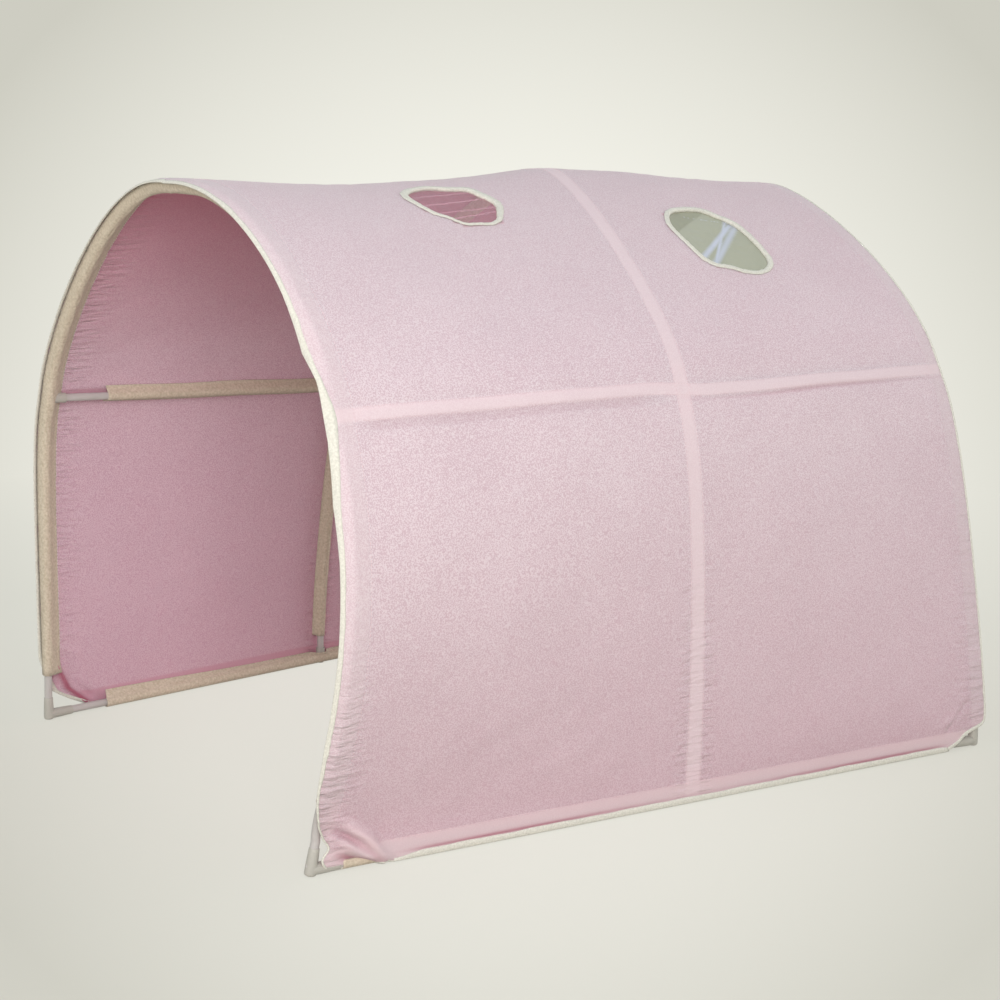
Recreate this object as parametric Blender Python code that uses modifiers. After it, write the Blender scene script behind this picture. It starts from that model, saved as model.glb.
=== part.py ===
"""Bed tunnel: a plug-in tube frame of three hoops under a sewn cover. Metres, +Z up, front towards -Y."""

import math
from typing import NamedTuple

import bmesh
import bpy
from mathutils import Vector

# Cover, measured over the cloth
LENGTH = 0.910
FRONT_HEIGHT = 0.677
MIDDLE_HEIGHT = 0.700
REAR_HEIGHT = 0.692
CLOTH = 0.0008
HEM_HEIGHT = 0.0016
FRONT_SAG = 0.012
REAR_SAG = 0.002
FRONT_CHAMFER_RUN = 0.057
FRONT_CHAMFER_RISE = 0.062
REAR_CHAMFER_RUN = 0.045
REAR_CHAMFER_RISE = 0.030

# Tubes and the sockets that they plug into
TUBE_DIAMETER = 0.0095
TUBE_WALL = 0.0012
SOCKET_DIAMETER = 0.0125
PEG_DIAMETER = 0.009
FIT = 0.0003
BASE_RAIL_HEIGHT = 0.0065
HOOP_INSET = 0.012
STUB = 0.034
JOINT_ARM = 0.020
BRANCH_ARM = 0.020
CROWN_ARM = 0.015
ELBOW_ARM = 0.032
ELBOW_STEM = 0.028
TEE_STEM = 0.022
RUN_WEB = 0.002
BRANCH_WEB = 0.0075

# Feet of the hoops, from the middle plane to the leg's axis; the front ones splay forward from their hoop
FRONT_LEFT_FOOT = 0.3451
FRONT_RIGHT_FOOT = 0.2783
REAR_FOOT = 0.4102
FRONT_LEFT_SPLAY = 0.0043
FRONT_RIGHT_SPLAY = 0.0065
MIDDLE_LEFT_FOOT_Y = -0.020
MIDDLE_RIGHT_FOOT_Y = 0.005

# Side rails: their axes at the front and the rear hoop
LEFT_RAIL_FRONT_X = 0.3253
LEFT_RAIL_FRONT_Z = 0.4121
LEFT_RAIL_REAR_X = 0.3383
LEFT_RAIL_REAR_Z = 0.3951
RIGHT_RAIL_FRONT_X = 0.3133
RIGHT_RAIL_FRONT_Z = 0.4521
RIGHT_RAIL_REAR_X = 0.3103
RIGHT_RAIL_REAR_Z = 0.4601

# The middle hoop leans back towards its crown
MIDDLE_CROWN_Y = 0.055
MIDDLE_SWAY = 5.0


class Bend(NamedTuple):
    """A half hoop's bends: the lean of its rail joint in degrees, and the tube's pull at each bend's end."""

    lean: float
    foot: float
    below_joint: float
    above_joint: float
    crown: float


FRONT_LEFT_BEND = Bend(lean=19.7, foot=0.169, below_joint=0.062, above_joint=0.060, crown=0.140)
FRONT_RIGHT_BEND = Bend(lean=18.5, foot=0.049, below_joint=0.214, above_joint=0.037, crown=0.168)
MIDDLE_LEFT_BEND = Bend(lean=20.0, foot=0.060, below_joint=0.070, above_joint=0.150, crown=0.040)
MIDDLE_RIGHT_BEND = Bend(lean=24.0, foot=0.060, below_joint=0.110, above_joint=0.080, crown=0.045)
REAR_LEFT_BEND = Bend(lean=18.7, foot=0.048, below_joint=0.042, above_joint=0.192, crown=0.041)
REAR_RIGHT_BEND = Bend(lean=27.0, foot=0.032, below_joint=0.093, above_joint=0.114, crown=0.060)

# Sleeves, sewn inside the cover
SLEEVE_CLOTH = 0.0006
SLEEVE_GAP = 0.0005
HOOP_SLEEVE_HEM = 0.0079
HOOP_SLEEVE_LAP = 0.016
FRONT_SLEEVE_FOOT = 0.066
MIDDLE_SLEEVE_FOOT = 0.040
REAR_SLEEVE_FOOT = 0.036
RAIL_SLEEVE_LAP = 0.011
RAIL_SLEEVE_STOP = 0.026
LEFT_RAIL_BARE = 0.088
BASE_SLEEVE_TOP = 0.022
BASE_SLEEVE_FRONT = 0.088
BASE_SLEEVE_REAR = 0.060
BASE_SLEEVE_TURN = 50.0
BASE_SLEEVE_TUCK = 20.0
CROSS_CLEARANCE = 0.006
CUTOUT = 0.0012

# Bias tape round the edges
TAPE = 0.0008
TAPE_GAP = 0.0006
TAPE_OUTSIDE = 0.007
TAPE_INSIDE = 0.0028
HEM_TAPE_INSIDE = 0.0020

# Windows, on the right of the crown
WINDOW_FILM = 0.0004
WINDOW_LAP = 0.008
WINDOW_TAPE_OUTSIDE = 0.005
WINDOW_TAPE_OVER = 0.002
FRONT_WINDOW_RADIUS = 0.052
FRONT_WINDOW_Y = -0.175
FRONT_WINDOW_ARC = 0.105
REAR_WINDOW_RADIUS = 0.057
REAR_WINDOW_Y = 0.168
REAR_WINDOW_ARC = 0.192

# Fineness of the faceted shapes
LEG_STEPS = 5
ARCH_STEPS = 10
BAY_STEPS = 3
CORNER_STEPS = 3
WRAP_STEPS = 5
SOCKET_SIDES = 12
WINDOW_SIDES = 22
TUBE_ROUNDS = 2
SMOOTH_ANGLE = 40.0

ALONG = Vector((0, 1, 0))
UP = Vector((0, 0, 1))
SIDES = {"left": -1, "right": 1}
TUBE_RADIUS = TUBE_DIAMETER / 2
SOCKET_RADIUS = SOCKET_DIAMETER / 2
PEG_RADIUS = PEG_DIAMETER / 2
BORE_RADIUS = (TUBE_RADIUS + FIT) / math.cos(math.pi / SOCKET_SIDES)
WRAP_RADIUS = SOCKET_RADIUS + FIT
INNER_FACE = WRAP_RADIUS + TAPE + TAPE_GAP
EDGE = LENGTH / 2
HOOP_Y = EDGE - HOOP_INSET
LOW_ROW = 1 + LEG_STEPS
HIGH_ROW = LOW_ROW + 1
CROWN_ROW = HIGH_ROW + ARCH_STEPS + 1

WHITE_PLASTIC = ((0.80, 0.79, 0.76), 0.42)
MOULDED_WHITE = ((0.74, 0.73, 0.70), 0.5)
PINK_CLOTH = ((0.80, 0.64, 0.67), 0.9)
NATURAL_COTTON = ((0.76, 0.67, 0.56), 0.92)
WHITE_TAPE = ((0.86, 0.87, 0.84), 0.85)
CLEAR_FILM = ((0.74, 0.75, 0.70), 0.2)


class Station(NamedTuple):
    """A place on a hoop: a point on the tube's axis, the way the tube runs, and the way out of the tunnel."""

    point: Vector
    run: Vector
    out: Vector


def clear_scene():
    """Removes every object of the scene."""
    for obj in list(bpy.data.objects):
        bpy.data.objects.remove(obj, do_unlink=True)


def new_collection(name):
    """A collection in the scene."""
    collection = bpy.data.collections.new(name)
    bpy.context.scene.collection.children.link(collection)
    return collection


clear_scene()
PARTS = new_collection("bed_tunnel")
CUTTERS = new_collection("cutters")
CUTTERS.hide_render = True


def dress(obj, finish):
    """Gives a part its own material and puts it among the parts."""
    colour, roughness = finish
    material = bpy.data.materials.new(obj.name)
    material.use_nodes = True
    shader = material.node_tree.nodes["Principled BSDF"]
    shader.inputs["Base Color"].default_value = (*colour, 1.0)
    shader.inputs["Roughness"].default_value = roughness
    shader.inputs["Metallic"].default_value = 0.0
    obj.data.materials.append(material)
    PARTS.objects.link(obj)


def helper(obj):
    """Puts a cutter or a piece that is joined to another among the hidden objects."""
    obj.hide_render = True
    obj.display_type = "WIRE"
    CUTTERS.objects.link(obj)
    return obj


def combine(obj, other, operation):
    """Joins another shape to a part, cuts it away, or keeps what lies inside it."""
    boolean = obj.modifiers.new(other.name, "BOOLEAN")
    boolean.operation = operation
    boolean.solver = "EXACT"
    boolean.object = helper(other)


def bar(name, start, end, radius, sides=SOCKET_SIDES):
    """A round bar between two points."""
    bm = bmesh.new()
    length = (end - start).length
    bmesh.ops.create_cone(
        bm, cap_ends=True, segments=sides, radius1=radius, radius2=radius, depth=length
    )
    mesh = bpy.data.meshes.new(name)
    bm.to_mesh(mesh)
    bm.free()
    mesh.shade_smooth()
    mesh.set_sharp_from_angle(angle=math.radians(SMOOTH_ANGLE))
    obj = bpy.data.objects.new(name, mesh)
    obj.location = (start + end) / 2
    obj.rotation_euler = (end - start).to_track_quat("Z", "Y").to_euler()
    return obj


def socket(name, spans, bores, peg=None):
    """A moulded socket: bars between pairs of points, with a blind bore in each arm and maybe a foot peg."""
    body = bar(name, *spans[0], SOCKET_RADIUS)
    for count, span in enumerate(spans[1:]):
        combine(body, bar(f"{name}_arm_{count}", *span, SOCKET_RADIUS), "UNION")
    if peg:
        combine(body, bar(f"{name}_peg", *peg, PEG_RADIUS), "UNION")
    for count, (start, end) in enumerate(bores):
        past = end + (end - start).normalized() * SOCKET_RADIUS
        combine(body, bar(f"{name}_bore_{count}", start, past, BORE_RADIUS), "DIFFERENCE")
    dress(body, MOULDED_WHITE)


def tube(name, points):
    """A tube along a line of points."""
    curve = bpy.data.curves.new(name, "CURVE")
    curve.dimensions = "3D"
    curve.bevel_depth = TUBE_RADIUS
    curve.bevel_resolution = TUBE_ROUNDS
    spline = curve.splines.new("POLY")
    spline.points.add(len(points) - 1)
    for knot, point in zip(spline.points, points):
        knot.co = (*point, 1.0)
    guide = bpy.data.objects.new(name + "_axis", curve)
    CUTTERS.objects.link(guide)
    bpy.context.view_layer.update()
    graph = bpy.context.evaluated_depsgraph_get()
    mesh = bpy.data.meshes.new_from_object(guide.evaluated_get(graph))
    bpy.data.objects.remove(guide)
    mesh.shade_smooth()
    mesh.name = name
    obj = bpy.data.objects.new(name, mesh)
    wall = obj.modifiers.new("wall", "SOLIDIFY")
    wall.thickness = TUBE_WALL
    wall.offset = -1
    dress(obj, WHITE_PLASTIC)


def sheet(name, rows, away, thickness, finish):
    """A cloth through rows of points, thickened towards the side that `away` points to at its middle."""
    bm = bmesh.new()
    bmesh.ops.create_grid(bm, x_segments=len(rows[0]) - 1, y_segments=len(rows) - 1, size=1)
    for vert, point in zip(bm.verts, [point for row in rows for point in row]):
        vert.co = point
    bmesh.ops.triangulate(bm, faces=bm.faces, quad_method="FIXED")
    bm.normal_update()
    bm.verts.ensure_lookup_table()
    middle = bm.verts[len(rows) // 2 * len(rows[0]) + len(rows[0]) // 2]
    if middle.normal.dot(away) < 0:
        bmesh.ops.reverse_faces(bm, faces=bm.faces)
    mesh = bpy.data.meshes.new(name)
    bm.to_mesh(mesh)
    bm.free()
    mesh.shade_smooth()
    obj = bpy.data.objects.new(name, mesh)
    solid = obj.modifiers.new("thickness", "SOLIDIFY")
    solid.thickness = thickness
    solid.offset = 1
    solid.use_even_offset = True
    dress(obj, finish)
    return obj


def bend_through(start, start_pull, end_pull, end, side, steps):
    """Stations along a cubic bend, its end included and its start left out."""
    stations = []
    for step in range(1, steps + 1):
        t = step / steps
        s = 1 - t
        point = start * s**3 + start_pull * 3 * s * s * t + end_pull * 3 * s * t * t + end * t**3
        run = (start_pull - start) * s * s + (end_pull - start_pull) * 2 * s * t + (end - end_pull) * t * t
        stations.append(station(point, run, side))
    return stations


def station(point, run, side):
    """A station whose way out is square to the tube and to the tunnel's length."""
    return Station(point, run.normalized(), (ALONG.cross(run) * side).normalized())


def half_hoop(side, foot, joint, crown, bend, sway, splay):
    """A half hoop's stations: floor, top of the straight foot, leg, the rail joint's ends, arch, crown."""
    lean = math.radians(bend.lean)
    run = Vector((-side * math.sin(lean), math.sin(math.radians(sway)), math.cos(lean))).normalized()
    foot_top = foot + UP * STUB
    low = joint - run * JOINT_ARM
    high = joint + run * JOINT_ARM
    outward = Vector((side, 0, 0))
    ferrule = crown + outward * CROWN_ARM
    stations = [station(foot, UP, side), station(foot_top, UP, side)]
    above_foot = foot_top + UP * bend.foot + ALONG * splay
    stations += bend_through(foot_top, above_foot, low - run * bend.below_joint, low, side, LEG_STEPS)
    stations.append(station(high, run, side))
    stations += bend_through(
        high, high + run * bend.above_joint, ferrule + outward * bend.crown, ferrule, side, ARCH_STEPS
    )
    stations.append(station(crown, -outward, side))
    return stations


def between(start, end, y):
    """The point at length y on the straight line between two points."""
    return start.lerp(end, (y - start.y) / (end.y - start.y))


SPLAYS = {("front", "left"): FRONT_LEFT_SPLAY, ("front", "right"): FRONT_RIGHT_SPLAY}
FEET = {
    ("front", "left"): Vector((-FRONT_LEFT_FOOT, -HOOP_Y - FRONT_LEFT_SPLAY, 0)),
    ("front", "right"): Vector((FRONT_RIGHT_FOOT, -HOOP_Y - FRONT_RIGHT_SPLAY, 0)),
    ("rear", "left"): Vector((-REAR_FOOT, HOOP_Y, 0)),
    ("rear", "right"): Vector((REAR_FOOT, HOOP_Y, 0)),
}
FEET["middle", "left"] = between(FEET["front", "left"], FEET["rear", "left"], MIDDLE_LEFT_FOOT_Y)
FEET["middle", "right"] = between(FEET["front", "right"], FEET["rear", "right"], MIDDLE_RIGHT_FOOT_Y)

JOINTS = {
    ("front", "left"): Vector((-LEFT_RAIL_FRONT_X, -HOOP_Y, LEFT_RAIL_FRONT_Z)),
    ("front", "right"): Vector((RIGHT_RAIL_FRONT_X, -HOOP_Y, RIGHT_RAIL_FRONT_Z)),
    ("rear", "left"): Vector((-LEFT_RAIL_REAR_X, HOOP_Y, LEFT_RAIL_REAR_Z)),
    ("rear", "right"): Vector((RIGHT_RAIL_REAR_X, HOOP_Y, RIGHT_RAIL_REAR_Z)),
}
for SIDE in SIDES:
    JOINTS["middle", SIDE] = between(JOINTS["front", SIDE], JOINTS["rear", SIDE], 0.0)

CROWNS = {
    "front": Vector((0, -HOOP_Y, FRONT_HEIGHT - CLOTH - INNER_FACE)),
    "middle": Vector((0, MIDDLE_CROWN_Y, MIDDLE_HEIGHT - CLOTH - INNER_FACE)),
    "rear": Vector((0, HOOP_Y, REAR_HEIGHT - CLOTH - INNER_FACE)),
}
BENDS = {
    ("front", "left"): FRONT_LEFT_BEND,
    ("front", "right"): FRONT_RIGHT_BEND,
    ("middle", "left"): MIDDLE_LEFT_BEND,
    ("middle", "right"): MIDDLE_RIGHT_BEND,
    ("rear", "left"): REAR_LEFT_BEND,
    ("rear", "right"): REAR_RIGHT_BEND,
}
SWAYS = {"front": 0.0, "middle": MIDDLE_SWAY, "rear": 0.0}
HOOPS = {
    (place, side): half_hoop(
        SIDES[side],
        FEET[place, side],
        JOINTS[place, side],
        CROWNS[place],
        BENDS[place, side],
        SWAYS[place],
        SPLAYS.get((place, side), 0.0),
    )
    for place in CROWNS
    for side in SIDES
}


def on_hoop(stations, at):
    """The axis point and the way out at a station number that may lie between two stations."""
    first = min(max(int(at), 0), len(stations) - 2)
    share = at - first
    before, after = stations[first], stations[first + 1]
    return before.point.lerp(after.point, share), before.out.lerp(after.out, share)


def sag(y, at):
    """How far the cover hangs in between two hoops; nothing at the side rails, most at the crown."""
    rise = min(max((at - HIGH_ROW) / (CROWN_ROW - HIGH_ROW), 0.0), 1.0)
    depth = FRONT_SAG if y < 0 else REAR_SAG
    return depth * math.sin(math.pi / 2 * rise) * math.sin(math.pi * min(abs(y) / HOOP_Y, 1.0))


def skin(side, y, at, lift):
    """The point of the cover at length y and station number `at`, lifted out from the cover's inner face."""
    reach = min(abs(y) / HOOP_Y, 1.0)
    beyond = y - math.copysign(reach * HOOP_Y, y)
    middle_point, middle_out = on_hoop(HOOPS["middle", side], at)
    end_point, end_out = on_hoop(HOOPS["front" if y < 0 else "rear", side], at)
    end_point.y = math.copysign(HOOP_Y, y)
    out = middle_out.lerp(end_out, reach).normalized()
    point = middle_point.lerp(end_point, reach) + ALONG * beyond
    return point + out * (INNER_FACE + lift - sag(y, at))


def station_at(side, y, height):
    """The station number where the cover has run this far up from the floor."""
    ran = 0.0
    for at in range(CROWN_ROW):
        step = (skin(side, y, at + 1, 0) - skin(side, y, at, 0)).length
        if ran + step >= height:
            return at + (height - ran) / step
        ran += step
    return CROWN_ROW


def hem_height(y):
    """The height of the cover's lower edge, which rises across the chamfered corners."""
    run, rise = (
        (FRONT_CHAMFER_RUN, FRONT_CHAMFER_RISE) if y < 0 else (REAR_CHAMFER_RUN, REAR_CHAMFER_RISE)
    )
    return HEM_HEIGHT + rise * max(0.0, (abs(y) - (EDGE - run)) / run)


FRONT_CORNER_Y = -(EDGE - FRONT_CHAMFER_RUN)
REAR_CORNER_Y = EDGE - REAR_CHAMFER_RUN
COLUMNS = sorted(
    {-EDGE, EDGE}
    | {FRONT_CORNER_Y * step / BAY_STEPS for step in range(BAY_STEPS + 1)}
    | {REAR_CORNER_Y * step / BAY_STEPS for step in range(1, BAY_STEPS + 1)}
    | {
        corner + (math.copysign(HOOP_Y, corner) - corner) * step / CORNER_STEPS
        for corner in (FRONT_CORNER_Y, REAR_CORNER_Y)
        for step in range(1, CORNER_STEPS + 1)
    }
)


def station_of(side, y, row):
    """The station number of a row of the cover's facets, which run from the lower edge to the crown."""
    if row >= 2:
        return row
    corner = FRONT_CORNER_Y if y < 0 else REAR_CORNER_Y
    edge = math.copysign(EDGE, y)
    above_chamfer = (max(station_at(side, edge, hem_height(edge)), 1.0) + 2) / 2
    second = 1 + (above_chamfer - 1) * min(y / corner, 1.0)
    if row >= 1:
        return second + (2 - second) * (row - 1)
    start = station_at(side, y, hem_height(y))
    return start + (second - start) * row


def knot(side, y, row, lift):
    """A corner of the cover's facets."""
    return skin(side, y, station_of(side, y, row), lift)


def cloth(side, y, row, lift):
    """A point on the cover's facets, between two columns and two rows."""
    last = max(index for index in range(len(COLUMNS) - 1) if index == 0 or COLUMNS[index] <= y)
    share = (y - COLUMNS[last]) / (COLUMNS[last + 1] - COLUMNS[last])
    low, part = int(row), row - int(row)
    high = min(low + 1, CROWN_ROW)
    ends = [
        knot(side, column, low, lift).lerp(knot(side, column, high, lift), part)
        for column in COLUMNS[last : last + 2]
    ]
    return ends[0].lerp(ends[1], share)


def columns_between(start, end):
    """The lengths of the cover's columns between two lengths, both ends included."""
    return [start] + [y for y in COLUMNS if start < y < end] + [end]


def across(first_row=0):
    """(side, row) pairs from the left lower edge over the crown to the right lower edge."""
    left = [("left", row) for row in range(first_row, CROWN_ROW + 1)]
    right = [("right", row) for row in range(CROWN_ROW - 1, first_row - 1, -1)]
    return left + right


def build_feet():
    """Corner elbows and base tees: upright sockets with a round flat foot and arms along the base rails."""
    axis = UP * BASE_RAIL_HEIGHT
    for side in SIDES:
        along = (FEET["rear", side] - FEET["front", side]).normalized()
        for place, way in (("front", along), ("rear", -along)):
            foot = FEET[place, side]
            top = foot + UP * ELBOW_STEM
            arm_end = foot + axis + way * ELBOW_ARM
            bores = [
                (foot + axis + UP * RUN_WEB, top),
                (foot + axis + way * BRANCH_WEB, arm_end),
            ]
            socket(f"{place}_{side}_elbow", [(foot, top), (foot + axis, arm_end)], bores)
        foot = FEET["middle", side]
        top = foot + UP * TEE_STEM
        ends = [foot + axis - along * JOINT_ARM, foot + axis + along * JOINT_ARM]
        bores = [
            (foot + axis + UP * BRANCH_WEB, top),
            (foot + axis - along * RUN_WEB, ends[0]),
            (foot + axis + along * RUN_WEB, ends[1]),
        ]
        peg = (foot, foot + axis)
        socket(f"{side}_base_tee", [(foot + axis, top), tuple(ends)], bores, peg)


def build_joints():
    """Rail tees on the front and rear hoops, and rail crosses on the middle hoop."""
    for side in SIDES:
        along = (JOINTS["rear", side] - JOINTS["front", side]).normalized()
        for place, ways in (("front", (along,)), ("middle", (-along, along)), ("rear", (-along,))):
            centre = JOINTS[place, side]
            run = HOOPS[place, side][HIGH_ROW].run
            ends = [centre - run * JOINT_ARM, centre + run * JOINT_ARM]
            start = centre if len(ways) == 1 else centre + ways[0] * BRANCH_ARM
            spans = [tuple(ends), (start, centre + ways[-1] * BRANCH_ARM)]
            bores = [(centre - run * RUN_WEB, ends[0]), (centre + run * RUN_WEB, ends[1])]
            bores += [(centre + way * BRANCH_WEB, centre + way * BRANCH_ARM) for way in ways]
            kind = "cross" if place == "middle" else "tee"
            socket(f"{place}_{side}_rail_{kind}", spans, bores)


def build_crowns():
    """A straight ferrule at the top of each hoop, where its two halves meet."""
    for place, crown in CROWNS.items():
        ends = [crown - Vector((CROWN_ARM, 0, 0)), crown + Vector((CROWN_ARM, 0, 0))]
        web = Vector((RUN_WEB / 2, 0, 0))
        bores = [(crown - web, ends[0]), (crown + web, ends[1])]
        socket(f"{place}_crown_ferrule", [tuple(ends)], bores)


def build_hoops():
    """A leg tube and an arch tube for each half hoop, seated in the sockets."""
    for (place, side), stations in HOOPS.items():
        points = [entry.point for entry in stations]
        joint = JOINTS[place, side]
        seat = stations[HIGH_ROW].run * (RUN_WEB + FIT)
        web = BRANCH_WEB if place == "middle" else RUN_WEB
        foot = FEET[place, side] + UP * (BASE_RAIL_HEIGHT + web + FIT)
        tube(f"{place}_{side}_leg", [foot] + points[1:HIGH_ROW] + [joint - seat])
        top = CROWNS[place] + Vector((SIDES[side] * (RUN_WEB / 2 + FIT), 0, 0))
        tube(f"{place}_{side}_arch", [joint + seat] + points[HIGH_ROW:CROWN_ROW] + [top])


def build_rails():
    """Base rails and side rails, each in two halves that meet in the middle hoop's sockets."""
    axis = UP * BASE_RAIL_HEIGHT
    for side in SIDES:
        for level, ends, middle_web in (("base", FEET, RUN_WEB), ("side", JOINTS, BRANCH_WEB)):
            lift = axis if level == "base" else Vector()
            middle = ends["middle", side] + lift
            for place in ("front", "rear"):
                end = ends[place, side] + lift
                way = (middle - end).normalized()
                start = end + way * (BRANCH_WEB + FIT)
                tube(f"{place}_{side}_{level}_rail", [start, middle - way * (middle_web + FIT)])


def cut_window(cover, name, y, arc, radius):
    """Cuts a round window in the cover and fits its film behind and its tape round the edge."""
    total = sum((skin("right", y, at + 1, 0) - skin("right", y, at, 0)).length for at in range(CROWN_ROW))
    at = station_at("right", y, total - arc)
    centre = skin("right", y, at, 0)
    up_hill = skin("right", y, at + 1, 0) - skin("right", y, at - 1, 0)
    out = ALONG.cross(up_hill).normalized()

    def plug(label, size):
        reach = out * radius
        return bar(f"{name}_{label}", centre - reach, centre + reach, size, WINDOW_SIDES)

    combine(cover, plug("hole", radius), "DIFFERENCE")
    wide = radius + WINDOW_LAP
    lengths = [length for length in COLUMNS if abs(length) < HOOP_Y + FIT and length * y >= 0]
    rows = range(CROWN_ROW, HIGH_ROW - 1, -1)
    film_rows = [[skin("right", length, row, -FIT) for length in lengths] for row in rows]
    film = sheet(name + "_film", film_rows, -out, WINDOW_FILM, CLEAR_FILM)
    combine(film, plug("film_edge", wide), "INTERSECT")
    tape_rows = [[skin("right", length, row, CLOTH + FIT) for length in lengths] for row in rows]
    tape = sheet(name + "_ring", tape_rows, out, TAPE, WHITE_TAPE)
    combine(tape, plug("ring_edge", radius + WINDOW_TAPE_OUTSIDE), "INTERSECT")
    combine(tape, plug("ring_hole", radius - WINDOW_TAPE_OVER), "DIFFERENCE")


def build_cover():
    """One cloth over the three hoops, with a film window in each bay."""
    rows = [[knot(side, y, row, 0) for y in COLUMNS] for side, row in across()]
    cover = sheet("cover", rows, UP, CLOTH, PINK_CLOTH)
    cut_window(cover, "front_window", FRONT_WINDOW_Y, FRONT_WINDOW_ARC, FRONT_WINDOW_RADIUS)
    cut_window(cover, "rear_window", REAR_WINDOW_Y, REAR_WINDOW_ARC, REAR_WINDOW_RADIUS)


def fold_tape(edge, towards, inside):
    """The folded tape's section at one point of an edge: outside, over the edge, inside."""
    section = []
    for reach, lift in (
        (TAPE_OUTSIDE, CLOTH + TAPE_GAP),
        (-TAPE_GAP, CLOTH + TAPE_GAP),
        (-TAPE_GAP, -TAPE_GAP),
        (inside, -TAPE_GAP),
    ):
        start, end = edge(lift), towards(lift)
        section.append(start + (end - start).normalized() * reach)
    return section


def build_edge_tapes():
    """Bias tape round the front and the rear edge, chamfered corners included."""
    for place, edge, hoop, corner in (
        ("front", -EDGE, -HOOP_Y, FRONT_CORNER_Y),
        ("rear", EDGE, HOOP_Y, REAR_CORNER_Y),
    ):
        slope = sorted({y for y in COLUMNS if abs(corner) <= abs(y) <= HOOP_Y and y * edge > 0}, key=abs)
        path = [("left", y, 0, y, 1) for y in slope] + [("left", edge, 0, hoop, 1)]
        path += [(side, edge, row, hoop, row) for side, row in across(1)]
        path += [("right", edge, 0, hoop, 1)] + [("right", y, 0, y, 1) for y in reversed(slope)]
        rows = []
        for side, y, row, next_y, next_row in path:
            rows.append(
                fold_tape(
                    lambda lift: knot(side, y, row, lift),
                    lambda lift: knot(side, next_y, next_row, lift),
                    TAPE_INSIDE,
                )
            )
        sheet(f"{place}_edge_tape", rows, ALONG * math.copysign(1, edge), TAPE, WHITE_TAPE)


def build_hem_tapes():
    """Bias tape along the lower edges, between the chamfers."""
    start = FRONT_CORNER_Y + TAPE + TAPE_GAP
    end = REAR_CORNER_Y - TAPE - TAPE_GAP
    for side in SIDES:
        rows = [
            fold_tape(
                lambda lift: cloth(side, y, 0, lift), lambda lift: cloth(side, y, 1, lift), HEM_TAPE_INSIDE
            )
            for y in columns_between(start, end)
        ]
        sheet(f"{side}_hem_tape", rows, -UP, TAPE, WHITE_TAPE)


def wrap(centre, along, inward, first, last, radius):
    """A taut strip from one anchor over a round piece to the other, in the plane of two directions."""
    angles = []
    for anchor, turn in ((first, -1), (last, 1)):
        offset = anchor - centre
        flat = Vector((offset.dot(along), offset.dot(inward)))
        angle = math.atan2(flat.y, flat.x)
        if turn < 0:
            angle %= 2 * math.pi
        angles.append(angle + turn * math.acos(min(radius / flat.length, 1.0)))
    line = [first]
    for step in range(WRAP_STEPS + 1):
        angle = angles[0] + (angles[1] - angles[0]) * step / WRAP_STEPS
        line.append(centre + (along * math.cos(angle) + inward * math.sin(angle)) * radius)
    line.append(last)
    return line


def row_at_height(side, y, height):
    """The row of the cover's facets whose station lies this far up the leg."""
    ran = hem_height(y)
    for row in range(CROWN_ROW):
        step = (knot(side, y, row + 1, 0) - knot(side, y, row, 0)).length
        if ran + step >= height:
            return row + (height - ran) / step
        ran += step
    return CROWN_ROW


def row_beside_joint(side, row, way):
    """The row of the cover a short way below or above the middle hoop's rail joint."""
    step = (knot(side, 0.0, row + way, 0) - knot(side, 0.0, row, 0)).length
    return row + way * CROSS_CLEARANCE / step


def hoop_wrap(place, side, row):
    """The section of a hoop's sleeve at a row of the cover."""
    y, facing = {"front": (-HOOP_Y, 1), "middle": (0.0, 1), "rear": (HOOP_Y, -1)}[place]
    before = HOOP_SLEEVE_LAP if place == "middle" else HOOP_SLEEVE_HEM
    centre, out = on_hoop(HOOPS[place, side], station_of(side, y, row))
    out = out.normalized()
    first = cloth(side, y - facing * before, row, -SLEEVE_GAP)
    last = cloth(side, y + facing * HOOP_SLEEVE_LAP, row, -SLEEVE_GAP)
    return wrap(centre, ALONG * facing, -out, first, last, WRAP_RADIUS)


def cut_branches(sleeve, place, side, ways):
    """Cuts a sleeve clear of the rail sockets that leave it."""
    centre = JOINTS[place, side]
    for count, way in enumerate(ways):
        end = centre + way * (BRANCH_ARM + HOOP_SLEEVE_LAP)
        cutter = bar(f"{sleeve.name}_{side}_{count}", centre, end, SOCKET_RADIUS + CUTOUT)
        combine(sleeve, cutter, "DIFFERENCE")


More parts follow.
